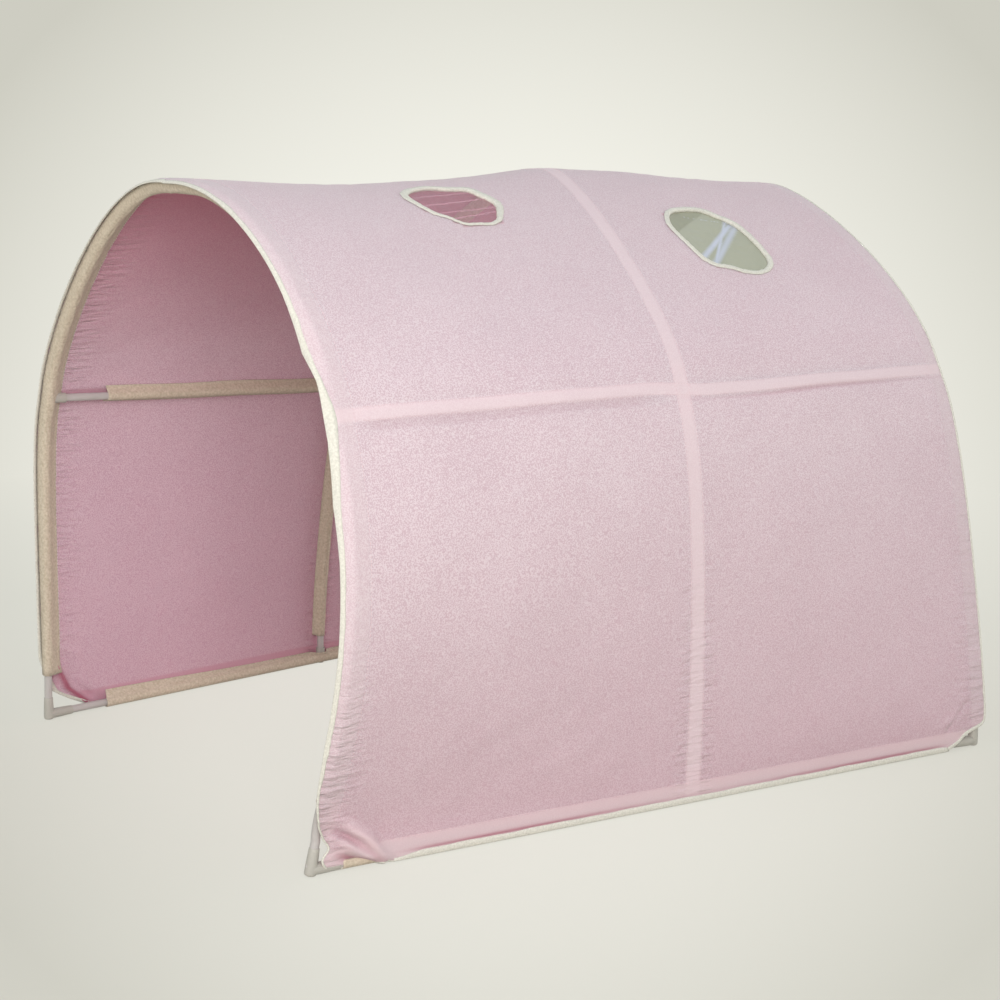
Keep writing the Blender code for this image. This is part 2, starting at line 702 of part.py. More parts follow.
def build_hoop_sleeves():
    """Cotton strips over the hoops; the middle one is in three lengths, between the rail crosses."""
    for place, foot, y in (("front", FRONT_SLEEVE_FOOT, -HOOP_Y), ("rear", REAR_SLEEVE_FOOT, HOOP_Y)):
        starts = {side: row_at_height(side, y, foot) for side in SIDES}
        rows = [("left", starts["left"])] + [entry for entry in across(1) if entry[1] > starts[entry[0]]]
        rows.append(("right", starts["right"]))
        sections = [hoop_wrap(place, side, row) for side, row in rows]
        sleeve = sheet(f"{place}_hoop_sleeve", sections, -UP, SLEEVE_CLOTH, NATURAL_COTTON)
        for side in SIDES:
            way = (JOINTS["rear", side] - JOINTS["front", side]).normalized()
            cut_branches(sleeve, place, side, [way if place == "front" else -way])
    for side in SIDES:
        start = row_at_height(side, 0.0, MIDDLE_SLEEVE_FOOT)
        end = row_beside_joint(side, LOW_ROW, -1)
        rows = [start] + [row for row in range(1, LOW_ROW) if row > start] + [end]
        inward = Vector((-SIDES[side], 0, 0))
        sections = [hoop_wrap("middle", side, row) for row in rows]
        sheet(f"middle_hoop_sleeve_{side}", sections, inward, SLEEVE_CLOTH, NATURAL_COTTON)
    starts = {side: row_beside_joint(side, HIGH_ROW, 1) for side in SIDES}
    rows = [("left", starts["left"])] + across(HIGH_ROW + 1) + [("right", starts["right"])]
    sections = [hoop_wrap("middle", side, row) for side, row in rows]
    sheet("middle_hoop_sleeve_top", sections, -UP, SLEEVE_CLOTH, NATURAL_COTTON)


def build_rail_sleeves():
    """A cotton strip over each half of the side rails."""
    lap = RAIL_SLEEVE_LAP / (2 * JOINT_ARM)
    middle_row = (LOW_ROW + HIGH_ROW) / 2
    for side in SIDES:
        front_bare = LEFT_RAIL_BARE - HOOP_INSET if side == "left" else RAIL_SLEEVE_STOP
        for place, start, end in (
            ("front", -HOOP_Y + front_bare, -RAIL_SLEEVE_STOP),
            ("rear", RAIL_SLEEVE_STOP, HOOP_Y - RAIL_SLEEVE_STOP),
        ):
            sections = []
            for y in columns_between(start, end):
                low = skin(side, y, LOW_ROW, 0)
                high = skin(side, y, HIGH_ROW, 0)
                run = (high - low).normalized()
                out = (ALONG.cross(run) * SIDES[side]).normalized()
                rail = between(JOINTS["front", side], JOINTS["rear", side], y)
                first = cloth(side, y, middle_row - lap, -SLEEVE_GAP)
                last = cloth(side, y, middle_row + lap, -SLEEVE_GAP)
                sections.append(wrap(rail, run, -out, first, last, TUBE_RADIUS + FIT))
            inward = Vector((-SIDES[side], 0, 0))
            sheet(f"{place}_{side}_rail_sleeve", sections, inward, SLEEVE_CLOTH, NATURAL_COTTON)


def base_wrap(side, y):
    """The section of a base sleeve: from the cover over the rail, down its inner side and in under it."""
    rail = between(FEET["front", side], FEET["rear", side], y) + UP * BASE_RAIL_HEIGHT
    inward = Vector((-SIDES[side], 0, 0))
    anchor = cloth(side, y, row_at_height(side, y, BASE_SLEEVE_TOP), -SLEEVE_GAP)
    offset = anchor - rail
    flat = Vector((offset.dot(-UP), offset.dot(inward)))
    start = math.atan2(flat.y, flat.x) % (2 * math.pi) - math.acos(WRAP_RADIUS / flat.length)
    end = -math.radians(BASE_SLEEVE_TUCK)
    line = [anchor]
    steps = 2 * WRAP_STEPS
    for step in range(steps + 1):
        angle = start + (end - start) * step / steps
        below = min(max(1 - angle / math.radians(BASE_SLEEVE_TURN), 0.0), 1.0)
        radius = WRAP_RADIUS + (TUBE_RADIUS + FIT - WRAP_RADIUS) * below
        line.append(rail + (-UP * math.cos(angle) + inward * math.sin(angle)) * radius)
    return line


def build_base_sleeves():
    """A cotton strip round each pair of base rails, open where the middle leg's tee stands."""
    for side in SIDES:
        lengths = columns_between(-EDGE + BASE_SLEEVE_FRONT, EDGE - BASE_SLEEVE_REAR)
        sections = [base_wrap(side, y) for y in lengths]
        inward = Vector((-SIDES[side], 0, 0))
        sleeve = sheet(f"{side}_base_sleeve", sections, inward, SLEEVE_CLOTH, NATURAL_COTTON)
        foot = FEET["middle", side]
        above = foot + UP * BASE_RAIL_HEIGHT
        stem = bar(f"{side}_stem_cutout", above, above + UP * STUB, SOCKET_RADIUS + CUTOUT)
        combine(sleeve, stem, "DIFFERENCE")
        along = (FEET["rear", side] - FEET["front", side]).normalized() * (JOINT_ARM + CUTOUT)
        wide = UP * SOCKET_DIAMETER * 2
        drop = wide - UP * (HEM_HEIGHT + 2 * CUTOUT)
        under = bar(f"{side}_tee_cutout", foot - along - drop, foot + along - drop, wide.z)
        combine(sleeve, under, "DIFFERENCE")


build_feet()
build_joints()
build_crowns()
build_hoops()
build_rails()
build_cover()
build_edge_tapes()
build_hem_tapes()
build_hoop_sleeves()
build_rail_sleeves()
build_base_sleeves()
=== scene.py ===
"""Looks of a child's bed tunnel: three tube hoops under a sewn cotton cover. Metres, +Z up, front to -Y."""

import logging
import math
from collections.abc import Callable, Sequence
from dataclasses import dataclass, field
from enum import Enum
from functools import partial
from typing import Any

import bmesh
import bpy
import numpy as np
from bpy.types import Material, Node, NodeSocket, NodeTree, Object
from mathutils import Matrix, Vector


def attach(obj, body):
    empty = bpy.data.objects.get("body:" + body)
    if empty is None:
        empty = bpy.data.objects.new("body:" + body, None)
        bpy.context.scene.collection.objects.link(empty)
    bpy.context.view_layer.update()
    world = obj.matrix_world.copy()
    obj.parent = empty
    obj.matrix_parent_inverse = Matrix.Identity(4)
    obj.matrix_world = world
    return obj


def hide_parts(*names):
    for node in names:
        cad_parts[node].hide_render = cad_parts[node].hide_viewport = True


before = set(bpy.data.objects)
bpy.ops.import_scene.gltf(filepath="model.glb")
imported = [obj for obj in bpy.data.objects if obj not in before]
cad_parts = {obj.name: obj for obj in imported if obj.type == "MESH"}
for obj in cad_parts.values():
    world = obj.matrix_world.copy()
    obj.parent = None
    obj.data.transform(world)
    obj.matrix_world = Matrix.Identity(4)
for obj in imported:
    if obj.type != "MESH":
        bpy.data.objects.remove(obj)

logging.basicConfig(level=logging.INFO, format="%(message)s")
LOG = logging.getLogger("bed_tunnel")

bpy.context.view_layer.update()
BODY = "root"
Array = np.ndarray
Adder = Callable[..., Node]
ALONG = np.array((0.0, 1.0, 0.0))
UP = np.array((0.0, 0.0, 1.0))


class Side(Enum):
    """Which half of the tunnel, seen from its front end."""

    LEFT = -1
    RIGHT = 1

    @property
    def word(self) -> str:
        """The side's name as the frame's nodes use it."""
        return self.name.lower()

    @property
    def outward(self) -> Array:
        """The way out of the tunnel on this side."""
        return np.array((float(self.value), 0.0, 0.0))


class Place(Enum):
    """Which of the three hoops."""

    FRONT = "front"
    MIDDLE = "middle"
    REAR = "rear"


def unit(vectors: Array) -> Array:
    """Vectors scaled to length one."""
    return vectors / np.linalg.norm(vectors, axis=-1, keepdims=True)


def smooth(low: float, high: float, value: Array) -> Array:
    """A soft step from 0 at low to 1 at high.

    Args:
        low: where the step starts; it may be above high for a falling step.
        high: where the step ends.
        value: the numbers to place on the step.

    Returns:
        The step's height, from 0 to 1.
    """
    share = np.clip((value - low) / (high - low), 0.0, 1.0)
    return share * share * (3 - 2 * share)


def run_length(points: Array) -> Array:
    """Distance run along a line of points, 0 at the first."""
    steps = np.linalg.norm(np.diff(points, axis=0), axis=-1)
    return np.concatenate(([0.0], np.cumsum(steps)))


# Hoops: the tube's line, which the cover follows


@dataclass(frozen=True)
class Bend:
    """A half hoop's bends: the lean of its rail joint in degrees, and the tube's pull at each bend's end."""

    lean: float
    foot: float
    below_joint: float
    above_joint: float
    crown: float


@dataclass(frozen=True)
class Tubing:
    """The plug-in tube and the sockets it goes into."""

    diameter: float = 0.0095
    socket_diameter: float = 0.0125
    fit: float = 0.0003
    rail_height: float = 0.0065
    stub: float = 0.034
    joint_arm: float = 0.020
    crown_arm: float = 0.015
    elbow_arm: float = 0.032
    elbow_stem: float = 0.028
    run_web: float = 0.002
    branch_web: float = 0.0075

    @property
    def wrap_radius(self) -> float:
        """The radius at which cloth runs round a socket."""
        return self.socket_diameter / 2 + self.fit


TUBING = Tubing()
LEG_START, LEG_END, ARCH_START, ARCH_END, CROWN = 1.0, 6.0, 7.0, 17.0, 18.0
RAIL_STATION = (LEG_END + ARCH_START) / 2


@dataclass(frozen=True)
class HalfHoop:
    """One half of a hoop, numbered by stations from 0 at the floor to 18 at the crown."""

    side: Side
    foot: tuple[float, float, float]
    joint: tuple[float, float, float]
    crown: tuple[float, float, float]
    bend: Bend
    sway: float = 0.0
    splay: float = 0.0
    kick: bool = False

    @property
    def run(self) -> Array:
        """The way the tube runs through its rail joint."""
        lean, sway = math.radians(self.bend.lean), math.radians(self.sway)
        return unit(np.array((-self.side.value * math.sin(lean), math.sin(sway), math.cos(lean))))

    def stretches(self) -> list[tuple[float, float, tuple[Array, ...]]]:
        """The hoop as cubic stretches: first and last station, and the four points of each.

        Returns:
            The stretches from the floor to the crown.
        """
        foot, joint, crown = (np.array(p) for p in (self.foot, self.joint, self.crown))
        outward = self.side.outward
        foot_top = foot + UP * TUBING.stub + ALONG * self.splay * self.kick
        low = joint - self.run * TUBING.joint_arm
        high = joint + self.run * TUBING.joint_arm
        ferrule = crown + outward * TUBING.crown_arm
        above_foot = foot_top + UP * self.bend.foot + ALONG * self.splay * (not self.kick)
        before_joint = low - self.run * self.bend.below_joint
        after_joint = high + self.run * self.bend.above_joint
        before_crown = ferrule + outward * self.bend.crown

        def straight(start: Array, end: Array) -> tuple[Array, ...]:
            """A straight stretch as a cubic's four points."""
            third = (end - start) / 3
            return start, start + third, end - third, end

        return [
            (0.0, LEG_START, straight(foot, foot_top)),
            (LEG_START, LEG_END, (foot_top, above_foot, before_joint, low)),
            (LEG_END, ARCH_START, straight(low, high)),
            (ARCH_START, ARCH_END, (high, after_joint, before_crown, ferrule)),
            (ARCH_END, CROWN, straight(ferrule, crown)),
        ]

    def line(self, at: Array) -> tuple[Array, Array]:
        """The tube's axis and the way out of the tunnel at station numbers.

        Args:
            at: station numbers, any shape.

        Returns:
            Points and unit directions, each with a last axis of three.
        """
        at = np.clip(np.asarray(at, float), 0.0, CROWN)
        points = np.zeros((*at.shape, 3))
        runs = np.zeros((*at.shape, 3))
        for first, last, (a, b, c, d) in self.stretches():
            here = (at >= first) & (at <= last)
            t = ((at[here] - first) / (last - first))[:, None]
            s = 1 - t
            points[here] = a * s**3 + b * 3 * s * s * t + c * 3 * s * t * t + d * t**3
            runs[here] = (b - a) * s * s + (c - b) * 2 * s * t + (d - c) * t * t
        out = np.stack((runs[..., 2], np.zeros(at.shape), -runs[..., 0]), -1) * self.side.value
        return points, unit(out)


@dataclass(frozen=True)
class Feet:
    """Where the hoops stand and where the side rails meet them."""

    hoop_y: float = 0.443
    front_left: float = 0.3451
    front_right: float = 0.2783
    rear: float = 0.4102
    left_splay: float = 0.0043
    right_splay: float = 0.0065
    middle_left_y: float = -0.020
    middle_right_y: float = 0.005
    left_rail: tuple[float, float, float, float] = (0.3253, 0.4121, 0.3383, 0.3951)
    right_rail: tuple[float, float, float, float] = (0.3133, 0.4521, 0.3103, 0.4601)
    crown_heights: tuple[float, float, float] = (0.66825, 0.69125, 0.68325)
    middle_crown_y: float = 0.055
    middle_sway: float = 5.0

    def foot(self, place: Place, side: Side) -> Array:
        """The floor point under a hoop's leg.

        Args:
            place: which hoop.
            side: the half of the tunnel.

        Returns:
            The point, at height 0.
        """
        half = {Side.LEFT: self.front_left, Side.RIGHT: self.front_right}[side]
        splay = {Side.LEFT: self.left_splay, Side.RIGHT: self.right_splay}[side]
        front = np.array((side.value * half, -self.hoop_y - splay, 0.0))
        rear = np.array((side.value * self.rear, self.hoop_y, 0.0))
        if place is Place.FRONT:
            return front
        if place is Place.REAR:
            return rear
        y = self.middle_left_y if side is Side.LEFT else self.middle_right_y
        return front + (rear - front) * (y - front[1]) / (rear[1] - front[1])

    def joint(self, place: Place, side: Side) -> Array:
        """The centre of the rail joint on a hoop.

        Args:
            place: which hoop.
            side: the half of the tunnel.

        Returns:
            The point on the tube's axis.
        """
        front_x, front_z, rear_x, rear_z = self.left_rail if side is Side.LEFT else self.right_rail
        front = np.array((side.value * front_x, -self.hoop_y, front_z))
        rear = np.array((side.value * rear_x, self.hoop_y, rear_z))
        return {Place.FRONT: front, Place.MIDDLE: (front + rear) / 2, Place.REAR: rear}[place]

    def crown(self, place: Place) -> Array:
        """The top of a hoop's tube."""
        lengths = (-self.hoop_y, self.middle_crown_y, self.hoop_y)
        return np.array((0.0, dict(zip(Place, lengths))[place], dict(zip(Place, self.crown_heights))[place]))


FEET = Feet()
BENDS = {
    (Place.FRONT, Side.LEFT): Bend(19.7, 0.169, 0.062, 0.060, 0.140),
    (Place.FRONT, Side.RIGHT): Bend(18.5, 0.049, 0.214, 0.037, 0.184),
    (Place.MIDDLE, Side.LEFT): Bend(20.0, 0.060, 0.070, 0.150, 0.040),
    (Place.MIDDLE, Side.RIGHT): Bend(24.0, 0.060, 0.110, 0.080, 0.045),
    (Place.REAR, Side.LEFT): Bend(18.7, 0.048, 0.042, 0.192, 0.041),
    (Place.REAR, Side.RIGHT): Bend(27.0, 0.032, 0.093, 0.114, 0.060),
}


def half_hoop(place: Place, side: Side) -> HalfHoop:
    """The half hoop at a place and side.

    Args:
        place: which hoop.
        side: the half of the tunnel.

    Returns:
        The half hoop.
    """
    splay = 0.0
    if place is Place.FRONT:
        splay = FEET.left_splay if side is Side.LEFT else FEET.right_splay
    return HalfHoop(
        side=side,
        foot=tuple(FEET.foot(place, side)),
        joint=tuple(FEET.joint(place, side)),
        crown=tuple(FEET.crown(place)),
        bend=BENDS[place, side],
        sway=FEET.middle_sway if place is Place.MIDDLE else 0.0,
        splay=splay,
        kick=side is Side.RIGHT,
    )


HOOPS = {(place, side): half_hoop(place, side) for place in Place for side in Side}


# Creases and the cover's form


@dataclass(frozen=True)
class Crease:
    """A straight crease on the cover, by length along the tunnel and by run up the cloth from the floor."""

    y: float
    up: float
    angle: float
    length: float
    width: float
    height: float
    fade_in: float = 0.004
    hold: float = 0.0

    def relief(self, y: Array, up: Array) -> Array:
        """How far the crease lifts the cloth at places on it.

        Args:
            y: lengths along the tunnel.
            up: runs up the cloth.

        Returns:
            The lift, outwards of the tunnel.
        """
        turn = math.radians(self.angle)
        run = (y - self.y) * math.cos(turn) + (up - self.up) * math.sin(turn)
        off = (up - self.up) * math.cos(turn) - (y - self.y) * math.sin(turn)
        fade = smooth(-self.fade_in, self.fade_in, run) * smooth(self.length, self.hold * self.length, run)
        return self.height * np.exp(-((off / self.width) ** 2)) * fade


@dataclass(frozen=True)
class Gathers:
    """Rows of short irregular creases that leave a seam, where its thread has drawn the cloth in."""

    seed: int
    count: int
    y: tuple[float, float]
    up: tuple[float, float]
    angle: tuple[float, float]
    length: tuple[float, float]
    width: tuple[float, float] = (0.0025, 0.0045)
    height: tuple[float, float] = (0.0006, 0.0016)

    def creases(self) -> list[Crease]:
        """The creases, evenly spread along the seam with some scatter.

        Returns:
            The creases, from one end of the seam.
        """
        rng = np.random.default_rng(self.seed)
        made = []
        for step in range(self.count):
            share = (step + rng.uniform(0.1, 0.9)) / self.count
            made.append(
                Crease(
                    y=self.y[0] + (self.y[1] - self.y[0]) * share,
                    up=self.up[0] + (self.up[1] - self.up[0]) * share,
                    angle=rng.uniform(*self.angle),
                    length=rng.uniform(*self.length),
                    width=rng.uniform(*self.width),
                    height=rng.uniform(*self.height) * rng.choice((-0.6, 1.0)),
                )
            )
        return made


class Ripples:
    """A soft random field: a sum of long waves in random directions."""

    def __init__(self, seed: int, wavelength: float, count: int = 7) -> None:
        """Draws the waves.

        Args:
            seed: fixes the random draw.
            wavelength: the middle wavelength, in metres.
            count: how many waves.
        """
        rng = np.random.default_rng(seed)
        turns = rng.uniform(0, math.tau, count)
        numbers = math.tau / (wavelength * rng.uniform(0.6, 1.7, count))
        self.waves = np.stack((np.cos(turns) * numbers, np.sin(turns) * numbers), -1)
        self.starts = rng.uniform(0, math.tau, count)

    def __call__(self, a: Array, b: Array) -> Array:
        """The field at two coordinates, about -1 to 1."""
        angles = a[..., None] * self.waves[:, 0] + b[..., None] * self.waves[:, 1] + self.starts
        return np.sin(angles).sum(-1) / math.sqrt(len(self.starts)) * 0.8


@dataclass
class CoverForm:
    """The cover's hung shape: where any point of the cloth lies."""

    length: float = 0.910
    cloth: float = 0.0008
    tape: float = 0.0008
    tape_gap: float = 0.0006
    hem_height: float = 0.0016
    front_sag: float = 0.012
    rear_sag: float = 0.002
    hump: float = 0.005
    hump_y: float = 0.140
    hump_reach: float = 0.100
    hem_band: float = 0.025
    hoop_lap: float = 0.016
    hoop_band: float = 0.0095
    rail_band: float = 0.0065
    rail_bow: float = 0.0068
    pinch: float = 0.366
    bag: float = 0.0011
    dent: float = 0.00035
    band_height: float = 0.0011
    tuck_depth: float = 0.0014
    tuck_below: float = 0.0030
    tuck_width: float = 0.0024
    left_tuck: float = 0.4
    wide_tuck: float = 0.42
    curl_depth: float = 0.0070
    curl_reach: float = 0.013
    inset_reach: float = 0.17
    drop_gap: float = 0.001
    # Creases deeper than these take painted shade, the deepest more, and taller ones a painted highlight. The
    # rail's tuck takes painted shade too, and the last two place a thin line of painted shade along the hem tape.
    deep_crease: float = -0.0038
    deepest_crease: float = -0.0055
    tall_crease: float = 0.0055
    tuck_shade: float = 0.42
    shade_line_up: float = 0.0082
    shade_line_width: float = 0.0020
    # Where the cloth's end edge lies, and how far it hangs inwards past the hoop: by run up the cloth, for
    # the front and rear end of each half.
    ends: dict[tuple[bool, Side], tuple[tuple[float, float], ...]] = field(
        default_factory=lambda: {
            (True, Side.LEFT): (
                (0.000, 0.3750), (0.006, 0.3848), (0.012, 0.3965), (0.019, 0.4121), (0.027, 0.4267),
                (0.035, 0.4396), (0.046, 0.4493), (0.054, 0.4550),
            ),
            (True, Side.RIGHT): (
                (0.000, 0.4300), (0.003, 0.4334), (0.011, 0.4394), (0.016, 0.4417), (0.023, 0.4372),
                (0.027, 0.4328), (0.038, 0.4391), (0.065, 0.4475), (0.097, 0.4534), (0.120, 0.4550),
            ),
            (False, Side.LEFT): ((0.000, 0.4050), (0.030, 0.4550)),
            (False, Side.RIGHT): (
                (0.000, 0.3860), (0.003, 0.3929), (0.009, 0.4084), (0.019, 0.4199), (0.025, 0.4403),
                (0.029, 0.4520), (0.040, 0.4550),
            ),
        }
    )
    drops: dict[tuple[bool, Side], tuple[tuple[float, float], ...]] = field(
        default_factory=lambda: {
            (True, Side.LEFT): ((0.0, 0.0), (0.2, 0.0015), (0.6, 0.0010), (0.8, 0.0030), (0.9, 0.0040)),
            (True, Side.RIGHT): (
                (0.06, 0.000), (0.12, 0.003), (0.18, 0.007), (0.30, 0.007), (0.37, 0.008), (0.41, 0.012),
                (0.445, 0.006), (0.48, 0.006), (0.52, 0.005), (0.57, 0.013), (0.61, 0.010), (0.655, 0.007),
                (0.70, 0.006), (0.76, 0.006), (0.90, 0.004),
            ),
            (False, Side.LEFT): ((0.0, 0.001), (0.9, 0.002)),
            (False, Side.RIGHT): ((0.0, 0.000), (0.2, 0.002), (0.6, 0.001), (0.9, 0.002)),
        }
    )

    def __post_init__(self) -> None:
        """Works out the cloth's run up each middle half hoop and draws its creases."""
        self.edge = self.length / 2
        self.drop_start = FEET.hoop_y + self.drop_gap
        self.inner_face = TUBING.wrap_radius + self.tape + self.tape_gap
        self.stations = np.linspace(0.0, CROWN, 721)
        self.runs = {side: run_length(HOOPS[Place.MIDDLE, side].line(self.stations)[0]) for side in Side}
        self.broad = Ripples(3, 0.16)
        self.small = Ripples(8, 0.045)
        self.creases = {Side.LEFT: self.left_creases(), Side.RIGHT: self.right_creases()}

    def top(self, side: Side) -> float:
        """The run up the cloth to the crown."""
        return float(self.runs[side][-1])

    def up_at(self, side: Side, at: Array) -> Array:
        """The run up the cloth at stations."""
        return np.interp(at, self.stations, self.runs[side])

    def station_up(self, side: Side, up: Array) -> Array:
        """The stations at runs up the cloth."""
        return np.interp(up, self.runs[side], self.stations)

    def left_creases(self) -> list[Crease]:
        """Creases of the left half, which show inside the tunnel from the front.

        Returns:
            The creases.
        """
        near_front = -FEET.hoop_y + self.hoop_lap
        made = Gathers(21, 22, (near_front, near_front), (0.20, 0.74), (-16, 22), (0.02, 0.06)).creases()
        made += [
            Crease(-0.385, 0.0085, 141, 0.085, 0.0034, -0.0058, hold=0.8),
            Crease(-0.379, 0.0160, 141, 0.090, 0.0060, 0.0040, hold=0.4),
            Crease(-0.370, 0.018, 133, 0.080, 0.0070, -0.0025),
            Crease(-0.366, 0.016, 120, 0.080, 0.0080, 0.0018),
        ]
        return made

    def right_creases(self) -> list[Crease]:
        """Creases of the right half, on the side that the windows are on.

        Returns:
            The creases.
        """
        gathers = (
            Gathers(31, 13, (-0.452, -0.452), (0.065, 0.20), (-12, 16), (0.020, 0.045), (0.0030, 0.0042)),
            Gathers(35, 8, (0.450, 0.450), (0.06, 0.16), (165, 205), (0.015, 0.035), (0.003, 0.0045)),
        )
        made = [crease for group in gathers for crease in group.creases()]
        made += [
            Crease(-0.371, 0.002, 129, 0.100, 0.0075, 0.0085, hold=0.45),
            Crease(-0.373, 0.001, 138, 0.098, 0.0045, -0.0050, hold=0.5),
            Crease(-0.374, 0.000, 145, 0.085, 0.0050, 0.0060, hold=0.5),
            Crease(-0.379, 0.000, 159, 0.062, 0.0050, -0.0060, hold=0.5),
            Crease(-0.366, 0.003, 112, 0.080, 0.0080, -0.0030, hold=0.2),
            Crease(0.382, 0.030, 48, 0.085, 0.0045, 0.0022),
            Crease(0.388, 0.028, 47, 0.080, 0.0040, -0.0022),
            Crease(0.396, 0.034, 46, 0.065, 0.0035, 0.0018),
            Crease(0.404, 0.050, 44, 0.050, 0.0035, -0.0016),
        ]
        return made

    def edge_at(self, side: Side, front: bool, up: Array) -> Array:
        """How far from the middle the cloth's end edge lies at runs up the cloth."""
        ups, ends = zip(*self.ends[front, side])
        return sum(np.interp(up + step, ups, ends) for step in (-0.002, 0.0, 0.002)) / 3

    def inset(self, side: Side, y: Array, up: Array) -> Array:
        """Lengths along the tunnel, drawn in near the ends to follow the cut corners.

        Args:
            side: the half of the tunnel.
            y: lengths on the uncut cloth.
            up: runs up the cloth.

        Returns:
            The lengths on the cut cloth.
        """
        short = self.edge - np.where(y < 0, self.edge_at(side, True, up), self.edge_at(side, False, up))
        return y - np.sign(y) * short * smooth(self.edge - self.inset_reach, self.edge, np.abs(y))

    def drop(self, side: Side, y: Array, up: Array) -> Array:
        """How far the cloth past the end hoops hangs inwards.

        Args:
            side: the half of the tunnel.
            y: lengths along the tunnel.
            up: runs up the cloth.

        Returns:
            The depths, inwards.
        """
        depth = np.zeros(np.shape(up))
        for front in (True, False):
            ups, depths = zip(*self.drops[front, side])
            here = (y < 0) == front
            depth = np.where(here, np.interp(up, ups, depths), depth)
        past = np.clip((np.abs(y) - self.drop_start) / (self.edge - self.drop_start), 0, 1.2)
        return depth * past**1.5

    def base(self, side: Side, y: Array | float, at: Array | float) -> tuple[Array, Array]:
        """The tube's surface between two hoops, before sag and creases.

        Args:
            side: the half of the tunnel.
            y: lengths along the tunnel.
            at: stations.

        Returns:
            Points level with the tubes' axes, and unit directions out of the tunnel.
        """
        y, at = np.broadcast_arrays(np.asarray(y, float), np.asarray(at, float))
        reach = np.clip(np.abs(y) / FEET.hoop_y, 0.0, 1.0)[..., None]
        middle, middle_out = HOOPS[Place.MIDDLE, side].line(at)
        front, front_out = HOOPS[Place.FRONT, side].line(at)
        rear, rear_out = HOOPS[Place.REAR, side].line(at)
        ahead = (y < 0)[..., None]
        end = np.where(ahead, front, rear)
        end[..., 1] = np.where(y < 0, -FEET.hoop_y, FEET.hoop_y)
        end_out = np.where(ahead, front_out, rear_out)
        point = middle + (end - middle) * reach
        point[..., 1] += y - np.sign(y) * reach[..., 0] * FEET.hoop_y
        return point, unit(middle_out + (end_out - middle_out) * reach)

    def relief(self, side: Side, y: Array, at: Array) -> Array:
        """How far sag, bands and creases move the cloth outwards.

        Args:
            side: the half of the tunnel.
            y: lengths along the tunnel.
            at: stations.

        Returns:
            The lifts, outwards.
        """
        reach = np.clip(np.abs(y) / FEET.hoop_y, 0.0, 1.0)
        rise = np.clip((at - ARCH_START) / (CROWN - ARCH_START), 0.0, 1.0)
        depth = np.where(y < 0, self.front_sag, self.rear_sag)
        lift = -depth * np.sin(math.pi / 2 * rise) * np.sin(math.pi * reach)
        lift += self.hump * rise**2 * np.exp(-(((y - self.hump_y) / self.hump_reach) ** 2))
        up = self.up_at(side, at)
        free = np.sin(math.pi * reach) ** 0.5 * smooth(0.0, 0.06, up)
        lift += (self.bag * self.broad(y, up) + self.dent * self.small(y, up)) * free
        from_rail = self.from_rail(side, y, at)
        lift += self.band_height * np.exp(-((from_rail / self.rail_band) ** 4)) * free
        lift -= self.tuck(side, y, from_rail) * self.tuck_depth
        for crease in self.creases[side]:
            lift += crease.relief(y, up)
        if side is Side.RIGHT:
            corner = smooth(-self.pinch + 0.004, -self.pinch - 0.012, y)
            lift -= self.curl_depth * corner * np.clip(1 - up / self.curl_reach, 0, 1) ** 1.5
        return lift - self.drop(side, y, up)

    def bow(self, side: Side, y: Array) -> Array:
        """How far the rail's band is drawn up the cloth, in the right half's front bay."""
        return self.rail_bow * smooth(0.05, -0.06, y) * (side is Side.RIGHT)

    def from_rail(self, side: Side, y: Array, at: Array) -> Array:
        """Distances up the cloth from the middle of the rail's band."""
        return (at - RAIL_STATION) * 2 * TUBING.joint_arm - self.bow(side, y)

    def tuck(self, side: Side, y: Array, from_rail: Array) -> Array:
        """The fold under the side rail's band: wide and shallow in the right half's front bay, narrow elsewhere.

        Args:
            side: the half of the tunnel.
            y: lengths along the tunnel.
            from_rail: distances up the cloth from the middle of the rail's band.

        Returns:
            How deep each place lies in the fold.
        """
        strength = 0.25 + 0.75 * np.sin(math.pi * np.clip(np.abs(y) / FEET.hoop_y, 0, 1)) ** 2
        strength = strength * (self.left_tuck if side is Side.LEFT else 1.0)
        away = from_rail + self.rail_band + self.tuck_below + 0.001 * np.sin(y * 17.0)
        narrow = strength * np.exp(-((away / self.tuck_width) ** 2))
        if side is Side.LEFT:
            return narrow
        below = -from_rail - self.rail_band
        wide = self.wide_tuck * smooth(-0.0006, 0.0010, below) * smooth(0.0125, 0.0085, below)
        return narrow * smooth(-0.02, 0.02, y) + wide * smooth(-0.425, -0.405, y) * smooth(-0.035, -0.075, y)

    def shade(self, side: Side, y: Array, at: Array) -> Array:
        """How much painted shade each place takes in the tuck, in a corner's folds and along the hem tape, from 0
        to 1.

        Args:
            side: the half of the tunnel.
            y: lengths along the tunnel.
            at: stations.

        Returns:
            The shares of painted shade, 1 where the cloth is darkest.
        """
        up = self.up_at(side, at)
        # The rail's tuck and the deep creases take painted shade.
        deep = self.tuck(side, y, self.from_rail(side, y, at)) * self.tuck_shade
        for crease in self.creases[side]:
            if crease.height < self.deep_crease:
                share = 0.9 if crease.height < self.deepest_crease else 0.3
                deep = np.maximum(deep, share * (crease.relief(y, up) / crease.height) ** 1.5)
        # A thin line of painted shade, which comes and goes, where the hem tape's inner edge rolls the cloth over.
        roll = np.exp(-(((up - self.hem_height - self.shade_line_up) / self.shade_line_width) ** 2))
        depth = 0.64 + 0.36 * np.cos((y + 0.23) * 12.5)
        roll = roll * smooth(-0.37, -0.32, y) * smooth(0.40, 0.36, y) * depth
        return np.clip(np.maximum(deep, roll), 0, 1)

    def ridge_highlights(self, side: Side, y: Array, up: Array) -> Array:
        """How much painted highlight each place takes on a tall fold's back, from 0 to 1.

        Args:
            side: the half of the tunnel.
            y: lengths along the tunnel.
            up: runs up the cloth.

        Returns:
            The shares.
        """
        pale = np.zeros(np.shape(up))
        for crease in self.creases[side]:
            if crease.height > self.tall_crease:
                pale = np.maximum(pale, 0.85 * crease.relief(y, up) / crease.height)
        return pale

